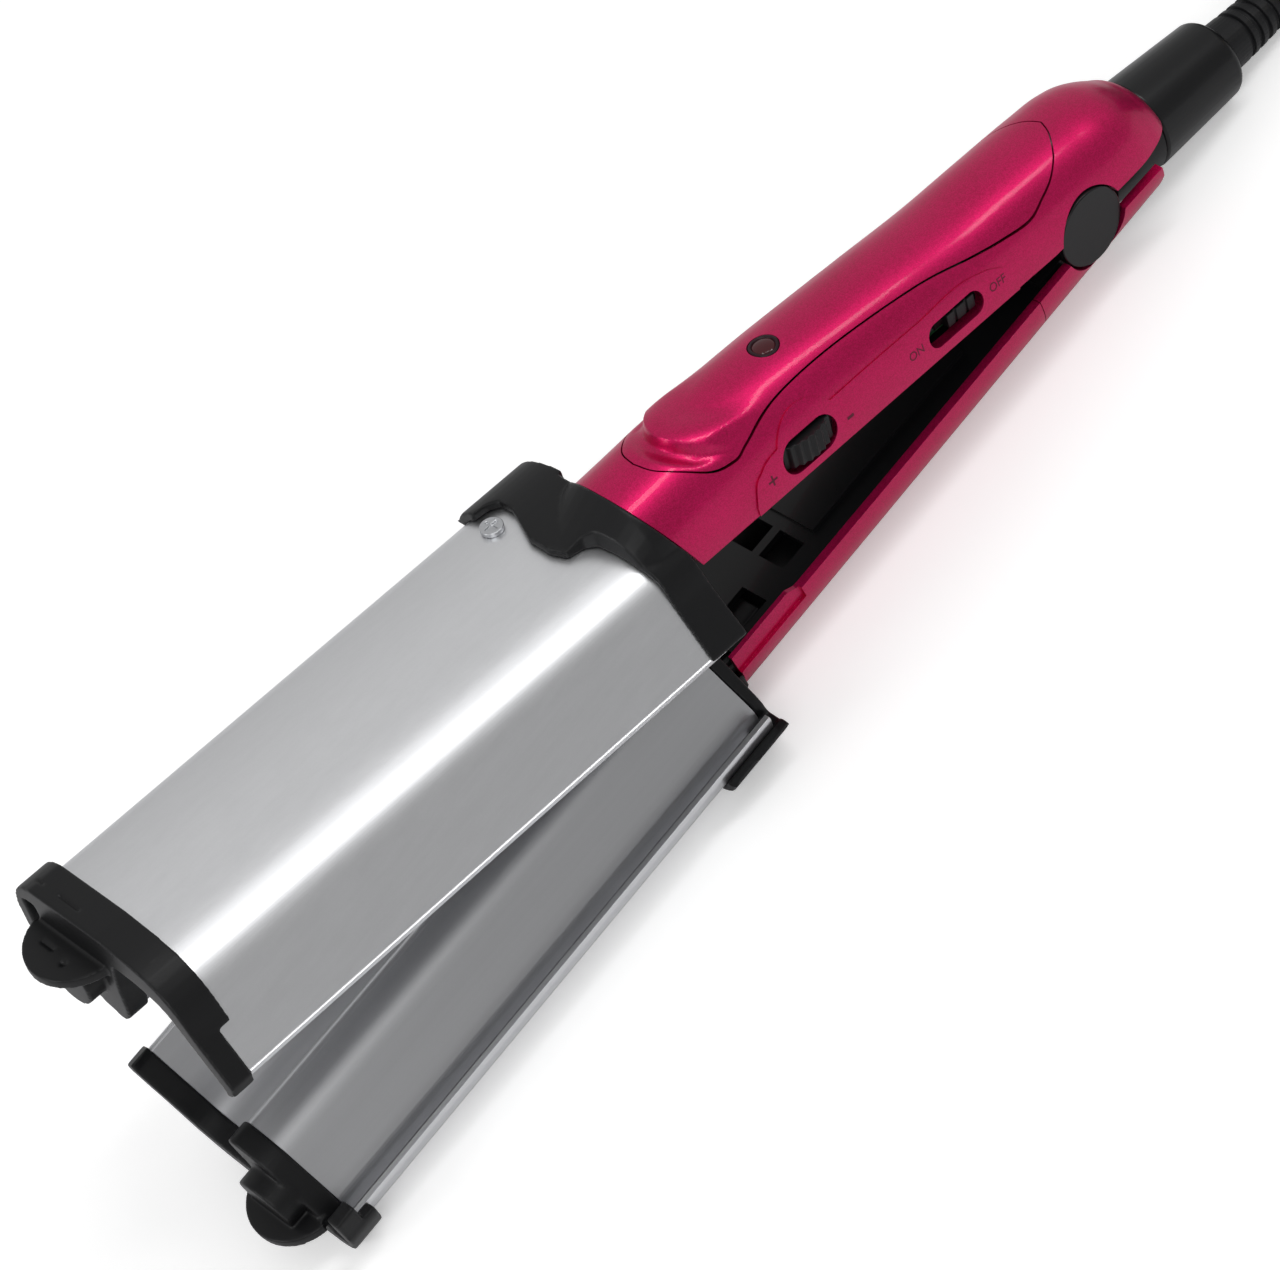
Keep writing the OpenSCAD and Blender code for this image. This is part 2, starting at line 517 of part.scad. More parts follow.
module upper_collar() {
  color("#1b1d20") upper() {
    difference() {
      union() {
        difference() {
          collar_body() intersection() {
            saddle();
            collar_plan(-30, 30);
          }
          yext(-shell_half_w - groove, shell_half_w + groove) polygon([[handle_front - 30, upper_edge - 0.3],
            [handle_front - 0.85, upper_edge - 0.3], [handle_front, 3], [handle_front + front_lean * 22, 25],
            [handle_front - 30, 25]]);
        }
        tongue(10);
        collar_plug(18);
      }
      cyl_x(wire_way_d / 2, jaw_rear - 40, jaw_rear + 40, -12, 2.5);
      translate([handle_front - tongue_len - 1, -8.5, liner_t + 2]) cube([tongue_len + 1.5, 17, 6]);
      nest_room();
    }
  }
}
module upper_cover_plate() {
  color("#c9cbce") upper() difference() { sheet_cover(jaw_rear - 3.4); screw_hole(); }
}
module upper_heat_plate() { color("#b4b7bb") upper() sheet_plate(jaw_rear - 3.4); }
module upper_heater() { color("#8c8f94") upper() heater_bar(); }
module upper_front_cap() { color("#1b1d20") upper() jaw_cap(); }
module upper_screw() { color("#9fa2a6") upper() cover_screw(); }

// ---- lower arm ----
lo_st = [[-22, lower_half_w, lower_h_rear, 3.2], [0, lower_half_w, lower_h_rear, 3.2],
  [60, lower_half_w, (lower_h_rear + lower_h_front) / 2, 3.2], [122, lower_half_w, lower_h_front, 3.2]];
lo_front = handle_front + 1.7;
module lo_skin(d, k) { loft(rows(lo_st, k, -1, d, d, -100, 200)); }
lo_side = [[-20.6, -4], [-21, -7.2], [-19.6, -9.6], [-15, -30], [lo_front, -30], [lo_front, -0.2], [101, -0.2],
  [98.4, -lower_edge], [10, -lower_edge], [-9, -3.4]];
module lo_wall() {
  difference() {
    intersection() { lo_skin(0, 28); yext(-30, 30) polygon(lo_side); }
    translate([0, 0, 0]) lo_skin(shell_t, 20);
    // rear opening for the tail
    translate([-30, -13, -30]) cube([25, 26, 40]);
    for (s = [-1, 1]) cyl_y(cap_d / 2 + 0.4, s > 0 ? 9.2 : -30, s > 0 ? 30 : -9.2);
    // the front lip is thinner than the wall
    for (s = [-1, 1]) translate([98, s > 0 ? lower_half_w - 0.9 : -lower_half_w - 9.1, -4.8]) cube([40, 10, 10]);
  }
}
module lower_shell() {
  color("#d01058") lower() intersection() {
    lo_wall();
    translate([seam_x + 0.1, -40, -40]) cube([200, 80, 80]);
  }
}
module lower_rear_cover() {
  color("#c41054") lower() intersection() {
    lo_wall();
    translate([-100, -40, -40]) cube([100 + seam_x - 0.1, 80, 80]);
  }
}
lin_w = lower_half_w - shell_t - 0.3;
module lower_liner() {
  color("#222428") lower() difference() {
    union() {
      translate([14, -lin_w, -3 - liner_t]) cube([lo_front - 16, 2 * lin_w, liner_t]);
      // raised platform along the middle
      translate([36, -8, -3]) cube([50, 16, 0.8]);
      for (s = [-1, 1]) {
        cyl_y(cap_d / 2, s > 0 ? 9.3 : -cap_face + 1.2, s > 0 ? cap_face - 1.2 : -9.3);
        translate([-4, s > 0 ? 9.3 : -12.6, -6]) cube([20, 3.3, 4.4]);
        translate([14, s > 0 ? lin_w - 1.6 : 0.4 - lin_w, -5.5]) cube([lo_front - 24, 1.2, 2.7]);
      }
    }
    cyl_y(pin_d / 2, -20, 20);
    // windows
    translate([89, 1, -8]) cube([7, 7, 8]);
    translate([103.5, 3, -8]) cube([7, 7, 8]);
    translate([89, -8, -8]) cube([7, 7, 8]);
    // blind key ways on the ears
    for (s = [-1, 1]) cyl_y(3.6, s > 0 ? cap_face - 1.7 : -cap_face, s > 0 ? cap_face : -cap_face + 1.7);
  }
}
module hinge_pin() {
  color("#b9bcc0") lower() cyl_y(pin_d / 2, -(cap_face - 1.7), cap_face - 1.7);
}
module hinge_caps() {
  color("#1d1f22") lower() for (s = [-1, 1]) {
    cyl_y(cap_d / 2, s > 0 ? cap_face - 1.2 : -cap_face, s > 0 ? cap_face : -cap_face + 1.2);
    cyl_y(3.5, s > 0 ? cap_face - 1.7 : -cap_face + 1, s > 0 ? cap_face - 1 : -cap_face + 1.7);
  }
}
// route helper: a tube of k sides swept along points
function unit(v) = v / norm(v);
function tang(p, i) = unit(p[min(i + 1, len(p) - 1)] - p[max(i - 1, 0)]);
function ring_at(p, i, r, k, up) = let (t = tang(p, i), s = unit(cross(up, t)), u = cross(t, s))
  [for (j = [0 : k - 1]) p[i] + r * (cos(360 * j / k) * s + sin(360 * j / k) * u)];
module tube(p, r, k, up = [0, 0, 1]) { loft([for (i = [0 : len(p) - 1]) rev(ring_at(p, i, r, k, up))]); }

spring_r = 6.2;
module torsion_spring() {
  color("#9da1a6") upper() {
    n = 4;
    tube(concat([[18, -3.6, -1.05], [9, -3.6, -3.6]], [for (i = [0 : n * 16]) let (a = -60 - i * 22.5)
      [spring_r * cos(a), -3.2 + 6.4 * i / (n * 16), spring_r * sin(a)]], [[9, 3.6, -4.2], [18, 3.6, -5.9]]),
      0.7, 6, [0, 1, 0.02]);
  }
}
module lower_collar() {
  color("#1b1d20") lower() {
    difference() {
      union() {
        turned() collar_body() {
          xext(handle_front + 1.8, jaw_rear - 4) polygon([[-15.8, 2], [-15.8, 9], [-13, 13.4], [13, 13.4], [15.8, 9],
            [15.8, 2]]);
        }
        turned() collar_plug(18);
        translate([handle_front - tongue_len, -9.3, -3 - liner_t - 5.1]) cube([tongue_len + 6.4, 18.6, 5]);
      }
      turned() cyl_x(wire_way_d / 2, jaw_rear - 40, jaw_rear + 40, -12, 2.5);
      turned() nest_room();
    }
  }
}
module lower_cover_plate() {
  color("#c9cbce") lower() turned() difference() { sheet_cover(jaw_rear - 3.4); screw_hole(); }
}
module lower_heat_plate() { color("#b4b7bb") lower() turned() sheet_plate(jaw_rear - 3.4); }
module lower_heater() { color("#8c8f94") lower() turned() heater_bar(); }
module lower_front_cap() { color("#1b1d20") lower() turned() jaw_cap(); }
module lower_screw() { color("#9fa2a6") lower() turned() cover_screw(); }
module lower_leads() {
  color("#b03030") lower() for (s = [0, 1])
    tube([[16, 10.35, -6.5 - 1.9 * s], [handle_front - 11, 10.35, -6.5 - 1.9 * s],
      [handle_front + 1, 10.5 + 1.75 * s, -5.45 - 0.55 * s], [jaw_rear + 23.8, 10.9 + 2.2 * s, -1.6]], 0.9, 8);
}

// ---- cord ----
sx0 = -handle_rear - 0.3;
module cord_swivel() {
  color("#141517") upper() translate([0, 0, swivel_z]) rotate([0, -90, 0]) difference() {
    rotate_extrude() polygon(concat([[0, 11.2], [neck_r - 0.65, 11.2], [neck_r - 0.65, 12.85], [neck_r, 12.85],
      [neck_r, -sx0], [swivel_r - 0.5, -sx0], [swivel_r, -sx0 + 0.6]],
      [for (a = [0 : 15 : 90]) [swivel_r_end - sw_fil + sw_fil * cos(a), swivel_len - sw_fil - sx0 + sw_fil * sin(a)]],
      [[0, -sx0 + swivel_len]]));
    translate([0, 0, 10]) cylinder(h = -sx0 + swivel_len - 10 - 9, r = cord_d / 2 + 0.2);
  }
}
module swivel_clip() {
  color("#a8abb0") upper() difference() {
    cyl_x(7, -12.75, -11.5, 0, swivel_z);
    cyl_x(neck_r - 0.6, -13.5, -11, 0, swivel_z);
  }
}
// points of the strain relief and cord lie in the row frame
function up_pt(x, z) = [x * cos(up_tilt) + z * sin(up_tilt) - mid_x, 0, -x * sin(up_tilt) + z * cos(up_tilt) + lift];
rel_n = 14;
rel_a = up_pt(sw_x - sw_fil, swivel_z);
rel_b = up_pt(relief_bend_x, swivel_z);
rel_pts = concat([rel_a], [for (i = [0 : 2]) rel_b + (2 - i) * (rel_a - rel_b) / 3 * (i < 2 ? 1 : 0)],
  [for (i = [1 : rel_n]) let (a = -up_tilt * (1 - i / rel_n))
    rel_b + bend_r * [sin(a) - sin(-up_tilt), 0, cos(-up_tilt) - cos(a)]]);
relief_end = rel_pts[len(rel_pts) - 1];
module strain_relief() {
  n = len(rel_pts);
  color("#101113") loft([for (i = [0 : n - 1]) let (r = relief_d / 2 - 1.3 * i / (n - 1) - (i % 2 == 1 && i > 3 ? 0.45 : 0))
    rev(ring_at(rel_pts, i, r, 16, [0, 1, 0]))]);
}
cz = cord_d / 2;
coil_loops = 2;                           // loops in each of the three layers
coil_layers = 3;
coil_out = coil_r + coil_loops * coil_pitch;
run_x = -run_len;
coil_c = [relief_end[0] + run_x, run_shift - coil_out, 0];
function ease(t) = let (k = min(max(t, 0), 1)) k * k * (3 - 2 * k);
run_pts = [for (t = [0, 0.08, 0.16, 0.25, 0.33, 0.42, 0.5, 0.58, 0.67, 0.75, 0.84, 0.92, 0.985, 1])
  [relief_end[0] - 0.05 + (run_x + 0.05) * t, run_shift * ease((t * run_len - 8) / (run_len - 8)),
    relief_end[2] + (cz - relief_end[2]) * ease((t - 0.1) / 0.78)]];
module cord_run() { color("#151618") tube(run_pts, cord_d / 2, 8, [0, 1, 0]); }
// the loops of a layer spiral in or out, a quarter turn leads to the next layer, and the last quarter climbs to the plug
coil_n = 24;
coil_turns = coil_layers * (coil_loops + 0.25);
coil_lift = cord_d + 1;
plug_climb = 12.2;
function coil_k(u) = min(floor(u / (coil_loops + 0.25)), coil_layers - 1);
function coil_w(u) = min(u - coil_k(u) * (coil_loops + 0.25), coil_loops);
function coil_pt(i) = let (u = i / coil_n, a = 90 + 360 * u,
  r = coil_k(u) % 2 == 0 ? coil_out - coil_pitch * coil_w(u) : coil_r + coil_pitch * coil_w(u),
  z = cz + coil_lift * (ease((u - coil_loops + 0.1) / 0.5) + ease((u - 2 * coil_loops - 0.15) / 0.5))
    + plug_climb * ease((u - coil_turns + 0.4) / 0.4))
  coil_c + [r * cos(a), r * sin(a), z];
coil_pts = concat([coil_pt(0) - [0.05, 0, 0], coil_pt(0) - [0.8, 0, 0]], [for (i = [1 : coil_turns * coil_n]) coil_pt(i)],
  [coil_pt(coil_turns * coil_n) + [0, 0.8, 0]]);
module cord_coil() { color("#17181a") tube(coil_pts, cord_d / 2, 6); }
// least gap between its loops, less the hexagon's width along the line between two points
function hex_w(v) = let (a = atan2(abs(v[2]), norm([v[0], v[1]]))) cord_d * cos((a + 30) % 60 - 30);
gap_all = [for (i = [0 : 2 : len(coil_pts) - 1]) for (j = [i + 14 : len(coil_pts) - 1])
  let (v = coil_pts[j] - coil_pts[i]) norm(v) - hex_w(v)];
echo(coil_gap = min(gap_all));
tail_a = coil_pts[len(coil_pts) - 1];
tail_len = 7.2;
tail_pts = [for (t = [0.01, 0.25, 0.5, 0.75, 1]) tail_a + [0, tail_len * t, 0]];
module cord_tail() { color("#151618") tube(tail_pts, cord_d / 2, 8, [1, 0, 0]); }
plug_at = tail_pts[len(tail_pts) - 1];
module plug_body() {
  color("#131416") loft([for (q = [[0, 4.6, 4.6, 2], [9, 5.6, 5.2, 2], [14, 8, 6.6, 2.6], [20, 11.6, 8.0, 3.4],
    [30, 12.2, 8.4, 3.6], [34, 12, 8.3, 3.6], [35.5, 10.8, 7.4, 3.4]]) rev([for (i = [0 : 23]) let (a = 15 * i)
      plug_at + [-q[1] * sign(cos(a)) * pow(abs(cos(a)), 2 / q[3]), q[0], q[2] * sign(sin(a)) * pow(abs(sin(a)), 2 / q[3])]])]);
}
module plug_blades() {
  color("#c9a860") for (s = [-1, 1])
    translate(plug_at + [6.35 * s - 0.75, 35.5, -3.15 - (s > 0 ? 0.8 : 0)]) cube([1.5, 17.5, 6.3 + (s > 0 ? 0.8 : 0)]);
}

upper_shell();
top_cover();
control_strip();
indicator_lens();
upper_chassis();
control_board();
dial_pot();
temp_dial();
switch_body();
switch_button();
upper_collar();
upper_cover_plate();
upper_heat_plate();
upper_heater();
upper_fuse();
upper_leads();
upper_front_cap();
upper_screw();
torsion_spring();
lower_shell();
lower_rear_cover();
lower_liner();
hinge_pin();
hinge_caps();
lower_collar();
lower_cover_plate();
lower_heat_plate();
lower_heater();
lower_leads();
lower_front_cap();
lower_screw();
cord_swivel();
swivel_clip();
strain_relief();
cord_run();
cord_coil();
cord_tail();
plug_body();
plug_blades();
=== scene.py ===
"""Dresses the corded deep waver: smooth handle shells, sheet-metal jaws, cord, finishes, light and camera.

Sizes are in millimetres in the frame of the arm that a piece belongs to: x from the hinge to the tips, y to
the switch side, z up, with the jaw hinge at the origin. Arm.place turns them into the row frame, in metres.
"""
import logging
import math
from dataclasses import dataclass, field
from enum import Enum
from typing import Callable, Optional, Sequence

import bmesh
import bpy
import numpy as np
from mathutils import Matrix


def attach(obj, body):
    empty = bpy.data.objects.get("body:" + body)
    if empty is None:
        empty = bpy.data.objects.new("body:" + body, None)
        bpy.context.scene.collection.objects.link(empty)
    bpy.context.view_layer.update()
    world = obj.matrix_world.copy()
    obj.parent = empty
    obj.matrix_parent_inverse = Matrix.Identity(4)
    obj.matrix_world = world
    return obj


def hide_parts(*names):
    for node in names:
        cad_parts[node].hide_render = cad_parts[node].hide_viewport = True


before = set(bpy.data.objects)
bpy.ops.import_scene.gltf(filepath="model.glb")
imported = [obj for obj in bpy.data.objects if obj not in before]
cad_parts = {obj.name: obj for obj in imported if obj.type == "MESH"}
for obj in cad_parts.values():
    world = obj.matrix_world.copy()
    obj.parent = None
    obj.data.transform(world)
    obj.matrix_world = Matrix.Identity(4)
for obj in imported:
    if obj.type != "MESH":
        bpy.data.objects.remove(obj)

log = logging.getLogger("waver")
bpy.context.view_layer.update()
Array = np.ndarray
HINGE = np.array([-91.1464, 0, 20.5861])  # in the row frame, in millimetres
CAP_ROOM = 9.25  # radius of the room round a hinge cap
EAR = 9.2  # distance of that room from the mid plane


class Arm(Enum):
    """The two arms, by their tilt about the hinge at rest, in degrees."""

    UPPER = -11.23734
    LOWER = 1.36266

    def turn(self) -> Array:
        """The arm's tilt as a matrix: a turn about y."""
        a = math.radians(self.value)
        return np.array([[math.cos(a), 0, math.sin(a)], [0, 1, 0], [-math.sin(a), 0, math.cos(a)]])

    def place(self, points: Array) -> Array:
        """Turns arm coordinates into row coordinates: the arm's tilt, then the hinge's place.

        Args:
            points: an array of x, y, z in millimetres.
        Returns:
            The same points in the row frame, in metres.
        """
        return (np.asarray(points, float) @ self.turn().T + HINGE) / 1000

    def bring_back(self, points: Array) -> Array:
        """Turns row coordinates in metres back into arm coordinates in millimetres."""
        return (points * 1000 - HINGE) @ self.turn()


def turned(points: Array) -> Array:
    """Turns points half way round the x axis: y and z change sign."""
    return np.asarray(points) * np.array([1.0, -1.0, -1.0])


def catmull(points: Sequence[Sequence[float]], count: int) -> Array:
    """Catmull-Rom curve: each stretch is the cubic whose end slopes are half its neighbours' difference.

    Args:
        points: the knots.
        count: samples on each stretch.
    Returns:
        The samples, with the last knot.
    """
    p = np.asarray(points, float)
    padded = np.vstack([p[:1], p, p[-1:]])
    t = (np.arange(count) / count)[None, :, None]
    a, b, c, d = (padded[i:len(p) - 1 + i][:, None, :] for i in range(4))
    curve = 0.5 * (2 * b + (c - a) * t + (2 * a - 5 * b + 4 * c - d) * t ** 2
                   + (3 * b - a - 3 * c + d) * t ** 3)
    return np.vstack([curve.reshape(-1, p.shape[1]), p[-1:]])


def offset(curve: Array, distance: float) -> Array:
    """Moves each point of a plane curve along its left normal, the tangent turned by a quarter."""
    step = np.gradient(curve, axis=0)
    step /= np.linalg.norm(step, axis=1, keepdims=True)
    return curve + distance * np.stack([-step[:, 1], step[:, 0]], axis=1)


def smooth(value: Array, low: float, high: float) -> Array:
    """Smooth step: 3t^2 - 2t^3 of the share t of the way from low to high."""
    t = np.clip((value - low) / (high - low), 0, 1)
    return t * t * (3 - 2 * t)


def through(x: Array, knots: Sequence[Sequence[float]]) -> Array:
    """Cubic Hermite curve through knots, with slopes from the neighbouring knots.

    Args:
        x: where the curve is wanted.
        knots: rows of x and one or more values.
    Returns:
        The values at x, one column for each value.
    """
    k = np.asarray(knots, float)
    xs, ys = k[:, 0], k[:, 1:]
    slope = np.gradient(ys, xs, axis=0)
    i = np.clip(np.searchsorted(xs, x) - 1, 0, len(xs) - 2)
    h = (xs[i + 1] - xs[i])[..., None]
    t = np.clip((x[..., None] - xs[i][..., None]) / h, 0, 1)
    return ((2 * t ** 3 - 3 * t ** 2 + 1) * ys[i] + (t ** 3 - 2 * t ** 2 + t) * h * slope[i]
            + (3 * t ** 2 - 2 * t ** 3) * ys[i + 1] + (t ** 3 - t ** 2) * h * slope[i + 1])


def signed_power(value: Array, power: Array) -> Array:
    """A power of each value's size, with the value's own sign."""
    return np.sign(value) * np.abs(value) ** power


def across(x: Array, count: int) -> Array:
    """A grid whose rows each hold one value of x."""
    return np.repeat(x[:, None], count, axis=1)


# ---------------------------------------------------------------- meshes


def linked(name: str, data: bpy.types.ID) -> bpy.types.Object:
    """Puts a new object with its data into the scene."""
    obj = bpy.data.objects.new(name, data)
    bpy.context.scene.collection.objects.link(obj)
    return obj


def triples(items: object, key: str) -> Array:
    """Reads three numbers of each item, such as a vertex's place or a face's normal."""
    flat = np.zeros(3 * len(items))
    items.foreach_get(key, flat)
    return flat.reshape(-1, 3)


@dataclass
class Piece:
    """A mesh under way: points in the row frame and its faces."""

    name: str
    points: Array
    faces: Array
    obj: Optional[bpy.types.Object] = None
    inside: Optional[bpy.types.Material] = None

    @staticmethod
    def grid(name: str, surface: Array, close_u: bool = False, close_v: bool = False,
             caps: bool = False) -> "Piece":
        """Quads over a grid of points, joined to their next neighbours along both parameters.

        Args:
            name: the piece's name.
            surface: points of shape (u, v, 3).
            close_u: joins the last row to the first.
            close_v: joins the last column to the first.
            caps: closes the first and last row with a fan about its middle.
        Returns:
            The piece.
        """
        nu, nv = surface.shape[:2]
        u = np.arange(nu if close_u else nu - 1)[:, None]
        v = np.arange(nv if close_v else nv - 1)[None, :]
        a, b = u * nv + v, ((u + 1) % nu) * nv + v
        c, d = ((u + 1) % nu) * nv + (v + 1) % nv, u * nv + (v + 1) % nv
        quads = np.stack([a, b, c, d], axis=-1).reshape(-1, 4)
        points = surface.reshape(-1, 3)
        if caps:
            ring, tip, base = np.arange(nv), np.full(nv, len(points)), (nu - 1) * nv
            after = (ring + 1) % nv
            first = np.stack([ring, after, tip, tip], -1)
            last = np.stack([base + after, base + ring, tip + 1, tip + 1], -1)
            points = np.vstack([points, surface[0].mean(0), surface[-1].mean(0)])
            quads = np.vstack([quads, first, last])
        return Piece(name, points, quads)

    def build(self, merge: float = 1e-6) -> "Piece":
        """Writes the mesh, merges its doubles and points its faces outwards.

        Args:
            merge: the distance in metres below which points become one.
        Returns:
            The piece itself.
        """
        mesh = bpy.data.meshes.new(self.name)
        faces = [f[:3] if f[2] == f[3] else f for f in self.faces.tolist()]
        mesh.from_pydata(self.points.tolist(), [], faces)
        bm = bmesh.new()
        bm.from_mesh(mesh)
        bmesh.ops.remove_doubles(bm, verts=bm.verts, dist=merge)
        bmesh.ops.dissolve_degenerate(bm, edges=bm.edges, dist=merge / 2)
        bmesh.ops.recalc_face_normals(bm, faces=bm.faces)
        bm.to_mesh(mesh)
        bm.free()
        self.obj = linked(self.name, mesh)
        return self

    def outwards(self, arm: Arm, *centre: float) -> "Piece":
        """Points the faces of an open sheet away from a point.

        Args:
            arm: the arm that the piece belongs to.
            centre: x, y and z of a point on the inner side, in arm millimetres.
        Returns:
            The piece itself.
        """
        mesh = self.obj.data
        away = triples(mesh.polygons, "center") - arm.place(np.array(centre))
        if (away * triples(mesh.polygons, "normal")).sum() < 0:
            mesh.flip_normals()
        return self

    def modifier(self, kind: str, **settings: object) -> bpy.types.Modifier:
        """Adds a modifier of a kind with its settings."""
        m = self.obj.modifiers.new(kind.title(), kind)
        for key, value in settings.items():
            setattr(m, key, value)
        return m

    def bake(self) -> "Piece":
        """Applies the modifiers, so that the mesh holds the finished shape."""
        deps = bpy.context.evaluated_depsgraph_get()
        mesh = bpy.data.meshes.new_from_object(self.obj.evaluated_get(deps))
        self.obj.modifiers.clear()
        self.obj.data = mesh
        return self

    def thicken(self, millimetres: float, inside: Optional[bpy.types.Material] = None) -> "Piece":
        """Gives an open sheet its wall on the inner side.

        Args:
            millimetres: the wall's thickness.
            inside: a finish for the wall's inner face.
        Returns:
            The piece itself.
        """
        self.inside = inside
        if inside:
            for _ in range(2):  # finish puts the outer finish in the first slot
                self.obj.data.materials.append(inside)
        self.modifier("SOLIDIFY", thickness=millimetres / 1000, offset=-1.0, use_even_offset=True,
                      material_offset=1 if inside else 0)
        return self.bake()

    def cut(self, *cutters: "Piece") -> "Piece":
        """Takes closed pieces away and deletes them."""
        for c in cutters:
            self.modifier("BOOLEAN", operation="DIFFERENCE", solver="EXACT", object=c.obj)
            self.bake()
            bpy.data.objects.remove(c.obj, do_unlink=True)
        return self

    def finish(self, body: str, material: bpy.types.Material, slot: str, *nodes: str, round_mm: float = 0.2,
               angle: float = 40.0) -> bpy.types.Object:
        """Rounds the edges, shades, rides on a body and stands for CAD nodes.

        Args:
            body: the CAD body.
            material: the finish.
            slot: the record's material slot; it is not used.
            nodes: the CAD nodes that it replaces.
            round_mm: the radius along sharp edges.
            angle: edges sharper than this in degrees are rounded.
        Returns:
            The Blender object.
        """
        if self.inside:
            self.obj.data.materials[0] = material
        else:
            self.obj.data.materials.clear()
            self.obj.data.materials.append(material)
        edge_finish(self.obj, round_mm, angle)
        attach(self.obj, body)
        if nodes:
            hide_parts(*nodes)
        log.info("piece %s, %d faces", self.name, len(self.obj.data.polygons))
        return self.obj


def edge_finish(obj: bpy.types.Object, round_mm: float, angle: float) -> None:
    """Adds a small bevel along sharp edges and smooth shading.

    Args:
        obj: a mesh object.
        round_mm: the radius in millimetres.
        angle: the least edge angle in degrees.
    """
    if round_mm > 0:
        m = obj.modifiers.new("Edges", "BEVEL")
        m.width, m.segments, m.limit_method = round_mm / 1000, 2, "ANGLE"
        m.angle_limit, m.harden_normals, m.use_clamp_overlap = math.radians(angle), False, True
    n = obj.modifiers.new("Normals", "WEIGHTED_NORMAL")
    n.keep_sharp, n.weight = True, 60


def cutter(name: str, ring: Array, start: Sequence[float], end: Sequence[float], arm: Arm) -> Piece:
    """A closed cutter: a ring of points carried from one offset to another.

    Args:
        name: the cutter's name.
        ring: points in arm millimetres.
        start: the first offset.
        end: the second offset.
        arm: the arm that it cuts.
    Returns:
        The cutter.
    """
    surface = np.stack([ring + start, ring + end])
    return Piece.grid(name, arm.place(surface), close_v=True, caps=True).build()


def box(name: str, low: Sequence[float], high: Sequence[float], arm: Arm) -> Piece:
    """A cutter with straight sides between two corners, in arm millimetres."""
    (x0, y0, z0), (x1, y1, z1) = low, high
    ring = np.array([[0, y0, z0], [0, y1, z0], [0, y1, z1], [0, y0, z1]], float)
    return cutter(name, ring, [x0, 0, 0], [x1, 0, 0], arm)


def cutter_y(name: str, outline: Array, y0: float, y1: float, arm: Arm) -> Piece:
    """A cutter whose x-z outline is carried along y, in arm millimetres."""
    ring = np.stack([outline[:, 0], np.zeros(len(outline)), outline[:, 1]], 1)
    return cutter(name, ring, [0, y0, 0], [0, y1, 0], arm)


def cutter_z(name: str, outline: Array, z0: float, z1: float, arm: Arm) -> Piece:
    """A cutter whose x-y outline is carried along z, in arm millimetres."""
    ring = np.column_stack([outline, np.zeros(len(outline))])
    return cutter(name, ring, [0, 0, z0], [0, 0, z1], arm)


def disc(x: float, z: float, radius: float, count: int = 64) -> Array:
    """Points on a circle: centre plus radius times cosine and sine."""
    a = np.linspace(0, 2 * math.pi, count, endpoint=False)
    return np.stack([x + radius * np.cos(a), z + radius * np.sin(a)], 1)


def hinge_cutters(prefix: str, arm: Arm) -> list[Piece]:
    """Two cutters that leave room for the hinge caps, on the switch side and on the far side."""
    sides = (("Near", EAR, 20), ("Far", -20, -EAR))
    return [cutter_y(prefix + end, disc(0, 0, CAP_ROOM), y0, y1, arm) for end, y0, y1 in sides]


def stadium(x: float, z: float, length: float, width: float) -> Array:
    """An outline of two half circles joined by straight sides."""
    a = np.linspace(-math.pi / 2, math.pi / 2, 17)
    half = np.stack([x + (length - width) / 2 + width / 2 * np.cos(a), z + width / 2 * np.sin(a)], 1)
    return np.vstack([half, np.array([2 * x, 2 * z]) - half])


def tube(name: str, path: Array, radius: Callable[[Array], Array], sides: int) -> Piece:
    """A tube along a path: each ring is the radius times cosine and sine of two directions square to it.

    Args:
        name: the piece's name.
        path: points in metres.
        radius: the radius in metres for the share of the length from 0 to 1.
        sides: points on a ring.
    Returns:
        The closed piece.
    """
    t = np.gradient(path, axis=0)
    t /= np.linalg.norm(t, axis=1, keepdims=True)
    side = np.cross(np.array([0.0, 0.0, 1.0]), t)
    side /= np.linalg.norm(side, axis=1, keepdims=True)
    up = np.cross(t, side)
    along = np.concatenate([[0], np.cumsum(np.linalg.norm(np.diff(path, axis=0), axis=1))])
    r = radius(along / along[-1])[:, None, None]
    a = np.linspace(0, 2 * math.pi, sides, endpoint=False)[None, :, None]
    surface = path[:, None] + r * (np.cos(a) * side[:, None] + np.sin(a) * up[:, None])
    return Piece.grid(name, surface, close_v=True, caps=True).build()


# ---------------------------------------------------------------- shader maths


class Sock:
    """A value socket that Python's operators work on."""

    def __init__(self, graph: "Graph", link: object) -> None:
        """Keeps the graph and the output socket or number."""
        self.graph, self.link = graph, link

    def _math(self, kind: str, other: object) -> "Sock":
        """Adds a Math node for this value and another one."""
        return self.graph.node("ShaderNodeMath", {"operation": kind}, {0: self, 1: other})

    def __add__(self, other: object) -> "Sock":
        """This plus other."""
        return self._math("ADD", other)

    def __mul__(self, other: object) -> "Sock":
        """This times other."""
        return self._math("MULTIPLY", other)

    __radd__, __rmul__ = __add__, __mul__


